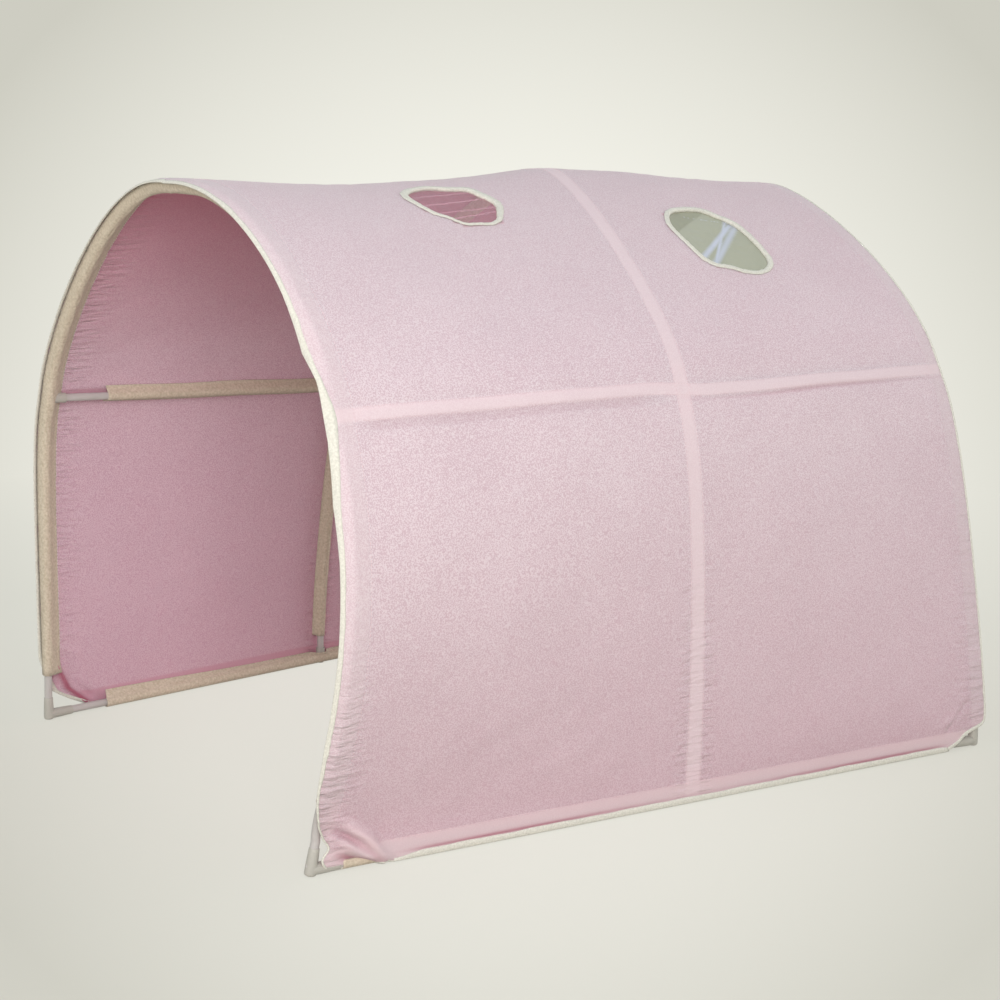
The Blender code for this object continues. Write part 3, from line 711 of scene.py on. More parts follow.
    def pulls(self, side: Side, y: Array, at: Array) -> Array:
        """How much the cloth is drawn into small level creases beside the upright seams.

        Args:
            side: the half of the tunnel.
            y: lengths along the tunnel.
            at: stations.

        Returns:
            The shares, from 0 to 1.
        """
        up = self.up_at(side, at)
        # They are strongest low down, and reach further from the front seam than from the others.
        low = smooth(0.42, 0.10, up)
        front = smooth(-0.388, -0.446, y) ** 1.5 * (0.15 + 0.85 * smooth(0.34, 0.16, up))
        rear = smooth(0.385, 0.435, y) * (0.10 + 0.60 * low)
        beside = np.abs(np.abs(y) - self.hoop_band - 0.004)
        middle = smooth(0.020, 0.002, beside) * (0.15 + 0.85 * low)
        if side is Side.LEFT:
            front = smooth(-0.375, -0.425, y) * 0.9
            middle = middle * 0.8
        return np.clip(front + rear + middle * 0.8, 0, 1)

    def at_height(self, side: Side, y: Array, height: Array | float) -> Array:
        """The stations where the cloth is at a height, near the floor.

        Args:
            side: the half of the tunnel.
            y: lengths along the tunnel.
            height: heights over the floor.

        Returns:
            The stations.
        """
        near_floor = np.linspace(0.0, 4.0, 161)
        y, height = np.broadcast_arrays(np.asarray(y, float), np.asarray(height, float))
        point, _ = self.base(side, y[..., None], near_floor)
        heights = point[..., 2].reshape(-1, near_floor.size)
        found = [np.interp(h, row, near_floor) for h, row in zip(height.ravel(), heights)]
        return np.array(found).reshape(y.shape)

    def skin(self, side: Side, y: Array | float, at: Array, lift: Array | float) -> Array:
        """Points of the cloth.

        Args:
            side: the half of the tunnel.
            y: lengths along the tunnel.
            at: stations.
            lift: height over the cover's inner face, outwards.

        Returns:
            The points, with a last axis of three.
        """
        y, at = np.broadcast_arrays(np.asarray(y, float), np.asarray(at, float))
        point, out = self.base(side, y, at)
        away = self.inner_face + lift + self.relief(side, y, at)
        return point + out * away[..., None]


FORM = CoverForm()


# Colours, nodes and finishes


def linear(code: str) -> tuple[float, float, float, float]:
    """An sRGB hex colour as linear RGBA."""
    parts = (int(code[i : i + 2], 16) / 255 for i in (1, 3, 5))
    return (*(p / 12.92 if p <= 0.04045 else ((p + 0.055) / 1.055) ** 2.4 for p in parts), 1.0)


def add_node(tree: NodeTree, kind: str, sockets: dict[str | int, Any] | None = None, **settings: Any) -> Node:
    """Adds a node to a tree.

    Args:
        tree: the shader or geometry tree.
        kind: the node's type name.
        sockets: by input name or number, a value for it, or a socket or a node's first output to link to it.
        settings: the node's own properties.

    Returns:
        The node.
    """
    node = tree.nodes.new(kind)
    for name, value in settings.items():
        setattr(node, name, value)
    for key, value in (sockets or {}).items():
        value = value.outputs[0] if isinstance(value, Node) else value
        if isinstance(value, NodeSocket):
            tree.links.new(value, node.inputs[key])
        else:
            node.inputs[key].default_value = value
    return node


def blank_material(name: str) -> tuple[Material, Adder]:
    """A new material with an empty node tree.

    Args:
        name: the material's name.

    Returns:
        The material, and add_node for its tree.
    """
    made = bpy.data.materials.new(name)
    made.use_nodes = True
    made.node_tree.nodes.clear()
    return made, partial(add_node, made.node_tree)


def wave_scale(spacing: float) -> float:
    """The Wave Texture scale whose bands are this far apart, in metres."""
    return math.tau / 20 / spacing


@dataclass(frozen=True)
class WovenCotton:
    """Plain-woven cotton or poly-cotton: matt, faintly fuzzy at the rim, with uneven yarns."""

    name: str
    colour: str
    deep: str
    slub: float
    thread: float = 0.0011
    thread_height: float = 0.00015
    roughness: float = 0.88
    sheen: float = 0.25
    through: float = 0.0
    through_colour: str = "#ffffff"
    crumple: float = 0.0004
    crumple_size: float = 1 / 55
    patch_size: float = 1 / 9
    patch_share: float = 0.07
    gather_length: float = 1 / 30
    gather_width: float = 1 / 125
    gather_height: float = 0.0060
    spread: float = 0.2
    seams: bool = False
    band_colour: str = "#ffffff"
    # The hem's tint, also painted on tall folds' backs: a highlight outside, shade within.
    hem_colour: str = "#ffffff"
    # Painted shade in folds, in the rail's tuck and along the hem tape.
    tuck_colour: str = "#ffffff"
    # Painted shade low down and at the top, mixed in by height up the cloth.
    low_shade_colour: str = "#ffffff"
    low_shade_share: float = 0.0
    high_colour: str = "#ffffff"
    high_shade_share: float = 0.0

    def colours(self, add: Adder, place: NodeSocket) -> NodeSocket:
        """The cloth's colour with its yarn mottle and, on the cover, its doubled seams, painted shade and
        highlights.

        Args:
            add: adds a node to the material.
            place: the Object coordinates.

        Returns:
            The colour's socket.
        """
        yarn = add("ShaderNodeTexNoise", {"Vector": place, "Scale": 1 / self.slub, "Detail": 1.0, "Roughness": 0.6})
        patch = add("ShaderNodeTexNoise", {"Vector": place, "Scale": 1 / self.patch_size, "Detail": 1.0})
        share = add("ShaderNodeMath", {0: yarn.outputs["Fac"], 1: 1 - self.patch_share}, operation="MULTIPLY")
        both = add(
            "ShaderNodeMath", {0: patch.outputs["Fac"], 1: self.patch_share, 2: share}, operation="MULTIPLY_ADD"
        )
        spread = add(
            "ShaderNodeMapRange", {"Value": both, "From Min": 0.5 - self.spread, "From Max": 0.5 + self.spread}
        )
        colour = add(
            "ShaderNodeMix", {0: spread, 6: linear(self.deep), 7: linear(self.colour)}, data_type="RGBA"
        ).outputs[2]
        if not self.seams:
            return colour
        marks = add("ShaderNodeAttribute", attribute_name="seams")
        # Alpha is the height up the cloth: painted shade tints the cloth low down and at the top.
        for start, end, most, tint in (
            (0.30, 0.0, self.low_shade_share, self.low_shade_colour), (0.45, 1.0, self.high_shade_share, self.high_colour)
        ):
            rise = add(
                "ShaderNodeMapRange",
                {"Value": marks.outputs["Alpha"], "From Min": start, "From Max": end, "To Max": most},
            )
            colour = add("ShaderNodeMix", {0: rise, 6: colour, 7: linear(tint)}, data_type="RGBA").outputs[2]
        # Red, green and blue: doubled bands; the hem, with painted highlights on tall folds; painted shade.
        parts = add("ShaderNodeSeparateColor", {"Color": marks.outputs["Color"]})
        for part, tint in enumerate((self.band_colour, self.hem_colour, self.tuck_colour)):
            colour = add(
                "ShaderNodeMix", {0: parts.outputs[part], 6: colour, 7: linear(tint)}, data_type="RGBA"
            ).outputs[2]
        return colour

    def bumps(self, add: Adder, place: NodeSocket) -> Node:
        """Crossing threads on the cloth's own map, over small crumples.

        Args:
            add: adds a node to the material.
            place: the Object coordinates.

        Returns:
            The node that bends the normal.
        """
        flat = add("ShaderNodeUVMap", uv_map="cloth")
        threads = [
            add(
                "ShaderNodeTexWave",
                {"Vector": flat, "Scale": wave_scale(self.thread), "Distortion": 1.5, "Detail": 1.0},
                bands_direction=direction,
            )
            for direction in ("X", "Y")
        ]
        weave = add(
            "ShaderNodeMath", {0: threads[0].outputs["Fac"], 1: threads[1].outputs["Fac"]}, operation="MAXIMUM"
        )
        soft = add("ShaderNodeTexNoise", {"Vector": place, "Scale": 1 / self.crumple_size, "Detail": 3.0})
        low = add("ShaderNodeBump", {"Strength": 0.6, "Distance": self.crumple, "Height": soft.outputs["Fac"]})
        if self.seams:
            # Gathers beside a lockstitched seam are 3 to 8 mm apart and run 20 to 50 mm into the cloth.
            sizes = (1 / self.gather_length, 1 / self.gather_width, 1.0)
            stretched = add("ShaderNodeMapping", {"Vector": flat, "Scale": sizes})
            gathers = add("ShaderNodeTexNoise", {"Vector": stretched, "Scale": 1.0, "Detail": 2.0})
            drawn = add("ShaderNodeAttribute", attribute_name="pulls")
            wave = add("ShaderNodeMath", {0: gathers.outputs["Fac"], 1: 0.5}, operation="SUBTRACT")
            height = add("ShaderNodeMath", {0: wave, 1: drawn.outputs["Fac"]}, operation="MULTIPLY")
            low = add(
                "ShaderNodeBump", {"Strength": 1.0, "Distance": self.gather_height, "Height": height, "Normal": low}
            )
        return add(
            "ShaderNodeBump", {"Strength": 0.35, "Distance": self.thread_height, "Height": weave, "Normal": low}
        )

    def material(self) -> Material:
        """The cloth as a material.

        Returns:
            The material.
        """
        made, add = blank_material(self.name)
        place = add("ShaderNodeTexCoord").outputs["Object"]
        colour = self.colours(add, place)
        normal = self.bumps(add, place)
        shader = add(
            "ShaderNodeBsdfPrincipled",
            {
                "Base Color": colour,
                "Roughness": self.roughness,
                "Sheen Weight": self.sheen,
                "Sheen Roughness": 0.5,
                "IOR": 1.5,
                "Specular IOR Level": 0.25,
                "Normal": normal,
            },
        )
        if self.through:
            passed = add("ShaderNodeBsdfTranslucent", {"Color": linear(self.through_colour), "Normal": normal})
            shader = add("ShaderNodeMixShader", {0: self.through, 1: shader, 2: passed})
        add("ShaderNodeOutputMaterial", {"Surface": shader})
        return made


@dataclass(frozen=True)
class MouldedPlastic:
    """Injection-moulded or extruded polypropylene: satin, very slightly uneven, faintly translucent at the skin."""

    name: str
    colour: str
    dusty: str
    roughness: float
    grain: float = 0.0006
    grain_height: float = 0.0001
    cloud_size: float = 1 / 60

    def material(self) -> Material:
        """The plastic as a material.

        Returns:
            The material.
        """
        made, add = blank_material(self.name)
        place = add("ShaderNodeTexCoord").outputs["Object"]
        cloud = add("ShaderNodeTexNoise", {"Vector": place, "Scale": 1 / self.cloud_size, "Detail": 4.0})
        colour = add(
            "ShaderNodeMix",
            {0: cloud.outputs["Fac"], 6: linear(self.dusty), 7: linear(self.colour)},
            data_type="RGBA",
        )
        polish = add(
            "ShaderNodeMapRange",
            {"Value": cloud.outputs["Fac"], "To Min": self.roughness - 0.06, "To Max": self.roughness + 0.08},
        )
        skin = add("ShaderNodeTexNoise", {"Vector": place, "Scale": 1 / self.grain, "Detail": 1.0})
        bump = add(
            "ShaderNodeBump", {"Strength": 0.2, "Distance": self.grain_height, "Height": skin.outputs["Fac"]}
        )
        shader = add(
            "ShaderNodeBsdfPrincipled",
            {"Base Color": colour.outputs[2], "Roughness": polish, "IOR": 1.49, "Normal": bump},
        )
        add("ShaderNodeOutputMaterial", {"Surface": shader})
        return made


@dataclass(frozen=True)
class SoftFilm:
    """Clear plasticised PVC sheet: see-through and glossy, a little grey, milky at folds and with painted glare on
    wide ones.
    """

    name: str
    tint: str
    milky_and_glare: str
    roughness: float = 0.12
    dent_size: float = 1 / 30
    dent_height: float = 0.0006

    def material(self) -> Material:
        """The film as a material, whose attribute says where fold marks are.

        Returns:
            The material.
        """
        made, add = blank_material(self.name)
        place = add("ShaderNodeTexCoord").outputs["Object"]
        marks = add("ShaderNodeAttribute", attribute_name="folds")
        dents = add("ShaderNodeTexNoise", {"Vector": place, "Scale": 1 / self.dent_size, "Detail": 2.0})
        bump = add(
            "ShaderNodeBump", {"Strength": 0.5, "Distance": self.dent_height, "Height": dents.outputs["Fac"]}
        )
        white = add("ShaderNodeMapRange", {"Value": marks.outputs["Fac"], "From Min": 0.72, "From Max": 1.0})
        colour = add("ShaderNodeMix", {0: white, 6: linear(self.tint), 7: linear(self.milky_and_glare)}, data_type="RGBA")
        cover = add("ShaderNodeMapRange", {"Value": marks.outputs["Fac"], "To Min": 0.03, "To Max": 0.92})
        shader = add(
            "ShaderNodeBsdfPrincipled",
            {
                "Base Color": colour.outputs[2],
                "Roughness": self.roughness,
                "IOR": 1.53,
                "Specular IOR Level": 0.3,
                "Alpha": cover,
                "Normal": bump,
            },
        )
        add("ShaderNodeOutputMaterial", {"Surface": shader})
        return made


# Yarns of about 0.3 mm are too fine to show. The weave is drawn at 1.1 mm, on the tapes at 0.8 mm. The uneven dye
# of the yarns is drawn as a mottle of 1.4 mm on the cover, 2 mm on the tapes and 3 mm on the coarser cotton.

# Dyed poly-cotton, plain-woven and seen from outside: pale pink and matt, with light coming through. The bands are
# two cloths thick, so paler. Painted shade makes a fold's depth a stronger pink, the cloth pinker low down and
# greyer near the top; a tall fold's back takes a painted highlight.
COVER_OUTSIDE = WovenCotton(
    "poly_cotton_outside", "#ece4e9", "#d2bfc8", 0.0014, through=0.30, through_colour="#eccbd4", spread=0.06,
    seams=True, band_colour="#f7e5ea", hem_colour="#ecdade", tuck_colour="#bf8493", low_shade_colour="#bd93a0",
    low_shade_share=0.42, high_colour="#d9d3d8", high_shade_share=0.45,
)
# The same cloth from within, its colours painted with the light that comes through: a fuller pink, darker where a
# band lets less light through, and painted shade in deep pink in the folds, under the roof and low down.
COVER_INSIDE = WovenCotton(
    "poly_cotton_inside", "#f3e1ec", "#dcc0d1", 0.0014, through=0.38, through_colour="#cc5474", spread=0.06,
    seams=True, band_colour="#dcb4c4", hem_colour="#dab0c0", tuck_colour="#a9566f", low_shade_colour="#d5aebf",
    low_shade_share=0.3, high_colour="#b85470", high_shade_share=0.85,
)
# Unbleached cotton, plain-woven: beige and quite matt, with thick and thin yarns.
NATURAL_COTTON = WovenCotton("unbleached_cotton", "#cabfad", "#b3a793", 0.0030, sheen=0.1)
# White cotton tape cut on the bias and pressed: off-white, smoother than the cover, hardly fuzzy.
BIAS_TAPE = WovenCotton("white_bias_tape", "#d6d5cb", "#c4c3b9", 0.0020, thread=0.0008, sheen=0.05)
# Spun polyester sewing thread: a fine twist with a soft, fuzzy look.
THREAD = WovenCotton("polyester_thread", "#efe8e8", "#e0d6d6", 0.0010, thread=0.0004, crumple=0.0001)
PINK_THREAD = WovenCotton("pink_thread", "#ecd3d8", "#dcbcc3", 0.0010, thread=0.0004, crumple=0.0001)
# Extruded polypropylene tube: greyish white and satin, with a long soft highlight.
TUBE_PLASTIC = MouldedPlastic("extruded_polypropylene", "#bab6b4", "#aaa6a3", 0.42)
# Injection-moulded polypropylene: a shade yellower than the tube, and duller from the mould's surface.
SOCKET_PLASTIC = MouldedPlastic("moulded_polypropylene", "#b1afa7", "#a19f97", 0.5)
# Plasticised vinyl sheet: see-through and glossy, with a greenish grey cast and milky fold marks; its wide marks on
# the rear window are a patch of painted glare.
CLEAR_FILM = SoftFilm("clear_soft_vinyl", "#a5a893", "#c2c8d8")
# The same sheet at the front window, tinted with the painted pink of the lit cloth that shows through and round it.
PINK_PAINTED_FILM = SoftFilm("clouded_soft_vinyl", "#d6a6b4", "#dccfd6")


# Meshes


def plain_mesh(name: str, points: Array, faces: Sequence[Sequence[int]]) -> Object:
    """An object at the origin from points and faces.

    Args:
        name: the object's name.
        points: the corners, with a last axis of three.
        faces: the corners' numbers, face by face.

    Returns:
        The object, in the scene.
    """
    mesh = bpy.data.meshes.new(name)
    mesh.from_pydata(points.reshape(-1, 3).tolist(), [], [list(face) for face in faces])
    mesh.shade_smooth()
    made = bpy.data.objects.new(name, mesh)
    bpy.context.scene.collection.objects.link(made)
    return made


def grid_mesh(name: str, points: Array, away: Array, wrap: bool = False) -> Object:
    """A cloth through a grid of points, facing the way given, with its own map in metres.

    Args:
        name: the object's name.
        points: the grid, with axes row, column and three.
        away: a direction that the grid's middle faces, or a grid of them.
        wrap: whether the last row joins the first.

    Returns:
        The object, open and one face thick.
    """
    rows, columns = points.shape[:2]
    index = np.arange(rows * columns).reshape(rows, columns)
    if wrap:
        index = np.vstack((index, index[:1]))
    quads = np.stack((index[:-1, :-1], index[1:, :-1], index[1:, 1:], index[:-1, 1:]), -1).reshape(-1, 4)
    middle = points[rows // 2, columns // 2]
    across = points[rows // 2 + 1, columns // 2] - middle
    along = points[rows // 2, columns // 2 + 1] - middle
    if np.dot(np.cross(across, along), away) < 0:
        quads = quads[:, ::-1]
    made = plain_mesh(name, points, quads)
    whole = np.vstack((points, points[:1])) if wrap else points
    down = run_length(whole[:, columns // 2])
    over = run_length(points[rows // 2])
    u, v = np.meshgrid(over, down)
    u, v = u.ravel(), v.ravel()
    layer = made.data.uv_layers.new(name="cloth")
    corners = np.zeros(len(made.data.loops), np.int32)
    made.data.loops.foreach_get("vertex_index", corners)
    flat = np.stack((u[: rows * columns][corners], v[: rows * columns][corners]), -1)
    layer.data.foreach_set("uv", flat.astype(np.float32).ravel())
    return made


def finish_mesh(piece: Object) -> Object:
    """Turns a piece with modifiers into a plain mesh.

    Args:
        piece: the piece, whose modifiers go.

    Returns:
        The same piece.
    """
    graph = bpy.context.evaluated_depsgraph_get()
    mesh = bpy.data.meshes.new_from_object(piece.evaluated_get(graph))
    piece.modifiers.clear()
    piece.data = mesh
    return piece


def thicken(piece: Object, thickness: float, inner_slot: int = 0) -> Object:
    """Gives a cloth its thickness behind its faces.

    Args:
        piece: the open cloth.
        thickness: in metres.
        inner_slot: how many material slots further the back face's material is.

    Returns:
        The piece, closed.
    """
    solid = piece.modifiers.new("thickness", "SOLIDIFY")
    solid.thickness = thickness
    solid.offset = -1
    solid.use_even_offset = False
    solid.material_offset = inner_slot
    return finish_mesh(piece)


def combine(piece: Object, operation: str, *others: Object) -> Object:
    """Joins closed shapes to a piece, or cuts them away, and removes them.

    Args:
        piece: the closed piece that stays.
        operation: UNION to join, or DIFFERENCE to cut.
        others: the closed shapes, which are used up.

    Returns:
        The piece.
    """
    for other in others:
        boolean = piece.modifiers.new(other.name, "BOOLEAN")
        boolean.operation = operation
        boolean.solver = "EXACT"
        boolean.object = other
    finish_mesh(piece)
    for other in others:
        bpy.data.objects.remove(other)
    return piece


def close_mesh(piece: Object, rim: Sequence[int] = ()) -> None:
    """Turns a piece's faces outwards or, where a rim is given, closes it with one face.

    Args:
        piece: the piece.
        rim: the numbers of the corners round the opening.
    """
    bm = bmesh.new()
    bm.from_mesh(piece.data)
    if rim:
        bm.verts.ensure_lookup_table()
        bmesh.ops.contextual_create(bm, geom=[bm.verts[corner] for corner in rim])
    else:
        bmesh.ops.recalc_face_normals(bm, faces=bm.faces)
    bm.to_mesh(piece.data)
    bm.free()


def over_crown(left: Array, right: Array) -> Array:
    """Rows of the left half up to the crown, and on down the right half."""
    return np.concatenate((left, right[-2::-1]))


def sweep(name: str, line: Array, radii: Array, sides: int = 20) -> Object:
    """A closed round bar along a line, as thick as the radii say.

    Args:
        name: the object's name.
        line: the axis, a point a row.
        radii: the radius at each point.
        sides: how many sides the round section has.

    Returns:
        The bar.
    """
    runs = unit(np.gradient(line, axis=0))
    across = unit(np.cross(runs, np.where(np.abs(runs[:, 1:2]) < 0.9, ALONG, UP)))
    up = np.cross(across, runs)
    turns = np.linspace(0, math.tau, sides, endpoint=False)
    ring = across[:, None] * np.cos(turns)[:, None] + up[:, None] * np.sin(turns)[:, None]
    points = line[:, None] + ring * radii[:, None, None]
    index = np.arange(points[..., 0].size).reshape(len(line), sides)
    turned = np.roll(index, -1, axis=1)
    quads = np.stack((index[:-1], turned[:-1], turned[1:], index[1:]), -1).reshape(-1, 4).tolist()
    faces = [*quads, index[0][::-1].tolist(), index[-1].tolist()]
    made = plain_mesh(name, points, faces)
    close_mesh(made)
    made.data.shade_smooth()
    made.data.set_sharp_from_angle(angle=math.radians(50))
    return made


def mark(piece: Object, name: str, values: Array) -> None:
    """Writes a number for each corner of a piece, which its material reads by name."""
    layer = piece.data.attributes.new(name, "FLOAT", "POINT")
    layer.data.foreach_set("value", values.astype(np.float32).ravel())


def dress(piece: Object, slot: str, node: str, *materials: Material) -> Object:
    """Gives a piece its materials, lets it ride on the tunnel and puts it in place of a plain solid.

    Args:
        piece: the finished piece.
        slot: not used.
        node: the plain solid that it replaces.
        materials: its materials, in the order of its faces' numbers.

    Returns:
        The piece.
    """
    slots = np.zeros(len(piece.data.polygons), np.int32)
    piece.data.polygons.foreach_get("material_index", slots)
    piece.data.materials.clear()
    for material in materials:
        piece.data.materials.append(material)
    piece.data.polygons.foreach_set("material_index", slots)
    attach(piece, BODY)
    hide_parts(node)
    LOG.info("%s: %d faces", piece.name, len(piece.data.polygons))
    return piece


# Cover


def spaced(stops: Sequence[tuple[float, float]], start: float) -> Array:
    """Values from a start through stops, each with the spacing that leads up to it.

    Args:
        stops: pairs of a value to reach and the spacing up to it.
        start: the first value.

    Returns:
        The values, the stops among them.
    """
    values = [start]
    for end, spacing in stops:
        first = values[-1]
        count = max(1, round((end - first) / spacing))
        values += [first + (end - first) * step / count for step in range(1, count + 1)]
    return np.array(values)


@dataclass
class Cover:
    """The sewn cover: one cloth with two puckered window holes."""

    fine: float = 0.0028
    coarse: float = 0.0086
    middle: float = 0.0048
    fine_reach: float = 0.065
    middle_reach: float = 0.030
    band_share: float = 0.72
    hem_share: float = 0.75

    def columns(self) -> Array:
        """Lengths of the cloth's columns, closer together near both ends and the middle hoop.

        Returns:
            The lengths, from the front edge.
        """
        edge = FORM.edge
        return spaced(
            (
                (-edge + self.fine_reach, self.fine),
                (-self.middle_reach, self.coarse),
                (self.middle_reach, self.middle),
                (edge - self.fine_reach, self.coarse),
                (edge, self.fine),
            ),
            -edge,
        )

    def stations(self, side: Side) -> Array:
        """Stations of the cloth's rows, closer together low down and at the side rail.

        Args:
            side: the half of the tunnel.

        Returns:
            The stations, from the hem.
        """
        top = FORM.top(side)
        rail = float(FORM.up_at(side, RAIL_STATION))
        stops = ((0.10, 0.0027), (0.22, 0.0038), (rail - 0.022, 0.0085), (rail + 0.021, 0.0019), (top, 0.0088))
        return FORM.station_up(side, spaced(stops, FORM.hem_height))

    def seams(self, side: Side, y: Array, at: Array) -> Array:
        """How much each point is doubled band or hem, and how much painted shade and highlight it takes, as a
        colour.

        Args:
            side: the half of the tunnel.
            y: lengths along the tunnel.
            at: stations.

        Returns:
            Red for bands, green for hem, ends and painted highlights, blue for painted shade, and alpha for the
            height.
        """
        up = FORM.up_at(side, at)
        from_rail = FORM.from_rail(side, y, at)
        rail = smooth(FORM.rail_band + 0.0012, FORM.rail_band - 0.0012, np.abs(from_rail))
        middle = smooth(FORM.hoop_band + 0.0024, FORM.hoop_band - 0.0024, np.abs(y))
        band = np.maximum(rail, middle)
        low = smooth(FORM.hem_band + 0.001, FORM.hem_band - 0.001, up)
        ends = smooth(FORM.edge - 0.028, FORM.edge - 0.024, np.abs(y)) * 0.5
        # The hem and ends are doubled cloth; the backs of tall folds take a painted highlight in the same channel.
        pale = np.maximum(np.maximum(low, ends) * self.hem_share, FORM.ridge_highlights(side, y, up))
        return np.stack((band * self.band_share, pale, FORM.shade(side, y, at), at / CROWN), -1)

    def build(self, outside: Material, inside: Material) -> Object:
        """The cloth, its windows cut out and dressed.

        Args:
            outside: the material of the outer face.
            inside: the material of the inner face.

        Returns:
            The cloth.
        """
        y = self.columns()
        halves, marks, pulls = [], [], []
        for side in Side:
            at, uncut = np.broadcast_arrays(self.stations(side)[:, None], y)
            across = FORM.inset(side, uncut, FORM.up_at(side, at))
            halves.append(FORM.skin(side, across, at, FORM.cloth))
            marks.append(self.seams(side, across, at))
            pulls.append(FORM.pulls(side, across, at))
        points = np.concatenate((halves[0][:-1], (halves[0][-1:] + halves[1][-1:]) / 2, halves[1][-2::-1]))
        colours = over_crown(*marks)
        piece = grid_mesh("cover_cloth", points, UP)
        # The seams colour also carries painted shade and painted highlights.
        layer = piece.data.color_attributes.new("seams", "FLOAT_COLOR", "POINT")
        layer.data.foreach_set("color", colours.astype(np.float32).ravel())
        mark(piece, "pulls", over_crown(*pulls))
        piece.data.materials.append(outside)
        piece.data.materials.append(inside)
        thicken(piece, FORM.cloth, 1)
        combine(piece, "DIFFERENCE", *(window.plug() for window in WINDOWS))
        piece.data.shade_smooth()
        return dress(piece, "cover", "cover", outside, inside)


# Windows


@dataclass(frozen=True)
class Window:
    """A film window in the right half, by its place and the reach of its puckered hole at even turns.

    Each of its folds has a turn in degrees, an offset from the middle, a width and a strength.
    """

    name: str
    y: float
    arc: float
    reaches: tuple[float, ...]
    seed: int
    haze: float
    folds: tuple[tuple[float, float, float, float], ...]
    lap: float = 0.006
    tape_outside: float = 0.0046
    tape_low: float = 1.0
    tape_over: float = 0.0012
    tape_thickness: float = 0.0006
    film_thickness: float = 0.0004

    def reach(self, angles: Array) -> Array:
        """The hole's reach from the window's middle at angles.

        Args:
            angles: in radians, 0 to the rear.

        Returns:
            The reaches.
        """
        waves = np.fft.rfft(np.array(self.reaches)) / len(self.reaches)
        made = np.full(np.shape(angles), waves[0].real)
        for number in range(1, 9):
            made += 2 * (waves[number] * np.exp(1j * number * angles)).real
        return made

    def arc_line(self) -> tuple[Array, Array]:
        """Arcs from the crown and their stations, at the window's length."""
        at = np.linspace(CROWN, ARCH_START, 400)
        return run_length(FORM.skin(Side.RIGHT, self.y, at, 0.0)), at

    def on_cover(self, across: Array | float, down: Array | float, lift: Array | float) -> Array:
        """Points over or under the cloth, by distances from the window's centre.

        Args:
            across: distance along the tunnel.
            down: distance away from the crown.
            lift: height over the cover's inner face.

        Returns:
            The points.
        """
        at = np.interp(self.arc + down, *self.arc_line())
        return FORM.skin(Side.RIGHT, self.y + across, at, lift)

    def facing(self) -> Array:
        """The way out of the cloth at the window's middle."""
        low, high = (self.on_cover(0.0, down, 0.0) for down in (0.01, -0.01))
        return unit(np.cross(ALONG, high - low))

    def plug(self) -> Object:
        """A cutter through the cloth, with the hole's outline.

        Returns:
            The closed cutter.
        """
        angles = np.linspace(0, math.tau, 120, endpoint=False)
        reach = self.reach(angles)
        across, down = reach * np.cos(angles), reach * np.sin(angles)
        ends = np.stack([self.on_cover(across, down, lift) for lift in (-0.012, 0.014)])
        count = len(angles)
        after = (np.arange(count) + 1) % count
        sides = [(i, j, j + count, i + count) for i, j in zip(range(count), after.tolist())]
        faces = [*sides, tuple(range(count)), tuple(range(count, 2 * count))]
        piece = plain_mesh(self.name + "_hole", ends, faces)
        close_mesh(piece)
        return piece

    def film(self, material: Material) -> Object:
        """The film behind the hole, with its fold marks, painted as glare where they are wide.

        Args:
            material: its finish.

        Returns:
            The dressed film.
        """
        rings, turns = 30, 120
        angles = np.linspace(0, math.tau, turns + 1)[None, :-1]
        reach = np.linspace(0.02, 1.0, rings)[:, None] * (self.reach(angles) + self.lap)
        across, down = reach * np.cos(angles), reach * np.sin(angles)
        haze = np.full(across.shape, self.haze)
        wave = 0.0005 * Ripples(self.seed, 0.04)(across, down)
        for turn, offset, width, strength in self.folds:
            angle = math.radians(turn)
            off = -across * math.sin(angle) + down * math.cos(angle) - offset
            line = np.exp(-((off / width) ** 2)) * strength
            haze = np.maximum(haze, line)
            wave = wave + 0.0007 * line
        points = self.on_cover(across, down, -0.0004 - np.abs(wave))
        piece = grid_mesh(self.name + "_film_sheet", np.swapaxes(points, 0, 1), self.facing(), wrap=True)
        close_mesh(piece, range(0, rings * turns, rings))
        mark(piece, "folds", np.swapaxes(haze, 0, 1))
        thicken(piece, self.film_thickness)
        return dress(piece, "film", self.name + "_film", material)

    def ring(self, material: Material) -> Object:
        """The puckered tape folded over the hole's edge.

        Args:
            material: its finish.

        Returns:
            The dressed tape.
        """
        turns = 280
        angles = np.linspace(0, math.tau, turns, endpoint=False)
        rng = np.random.default_rng(self.seed + 5)
        gathers_round = (7, 13, 19, 31, 44)
        pucker = sum(
            rng.uniform(0.2, 0.5) * np.sin(angles * count + rng.uniform(0, math.tau)) for count in gathers_round
        )
        edge = self.reach(angles)
        lower = 1 - (1 - self.tape_low) * np.clip(np.sin(angles - 0.3), 0, 1)
        outer = edge + self.tape_outside * (1 + 0.2 * np.cos(angles) ** 2) * lower + 0.0005 * pucker
        inner = edge - self.tape_over + 0.0004 * pucker
        top = FORM.cloth + 0.0003
        puff = 0.0007 + 0.0003 * np.abs(pucker)
        # From the tape's hidden inner leg round the hole's edge to its outer leg: reach and height of each line.
        section = [
            (edge + 0.0026, -0.0016),
            (inner + 0.0006, -0.0017),
            (inner - 0.0004, -0.0010),
            (inner - 0.0006, top * 0.4),
            (inner, top + puff * 0.6),
            (inner * 0.7 + outer * 0.3, top + puff),
            (inner * 0.4 + outer * 0.6, top + puff * 0.9),
            (outer * 0.97 + inner * 0.03, top + puff * 0.45),
            (outer, top),
        ]
        rows = []
        for reach, lift in section:
            rows.append(self.on_cover(reach * np.cos(angles), reach * np.sin(angles), lift))
        piece = grid_mesh(self.name + "_tape_ring", np.stack(rows, 1), -self.facing(), wrap=True)
        thicken(piece, self.tape_thickness)
        return dress(piece, "tape", self.name + "_ring", material)


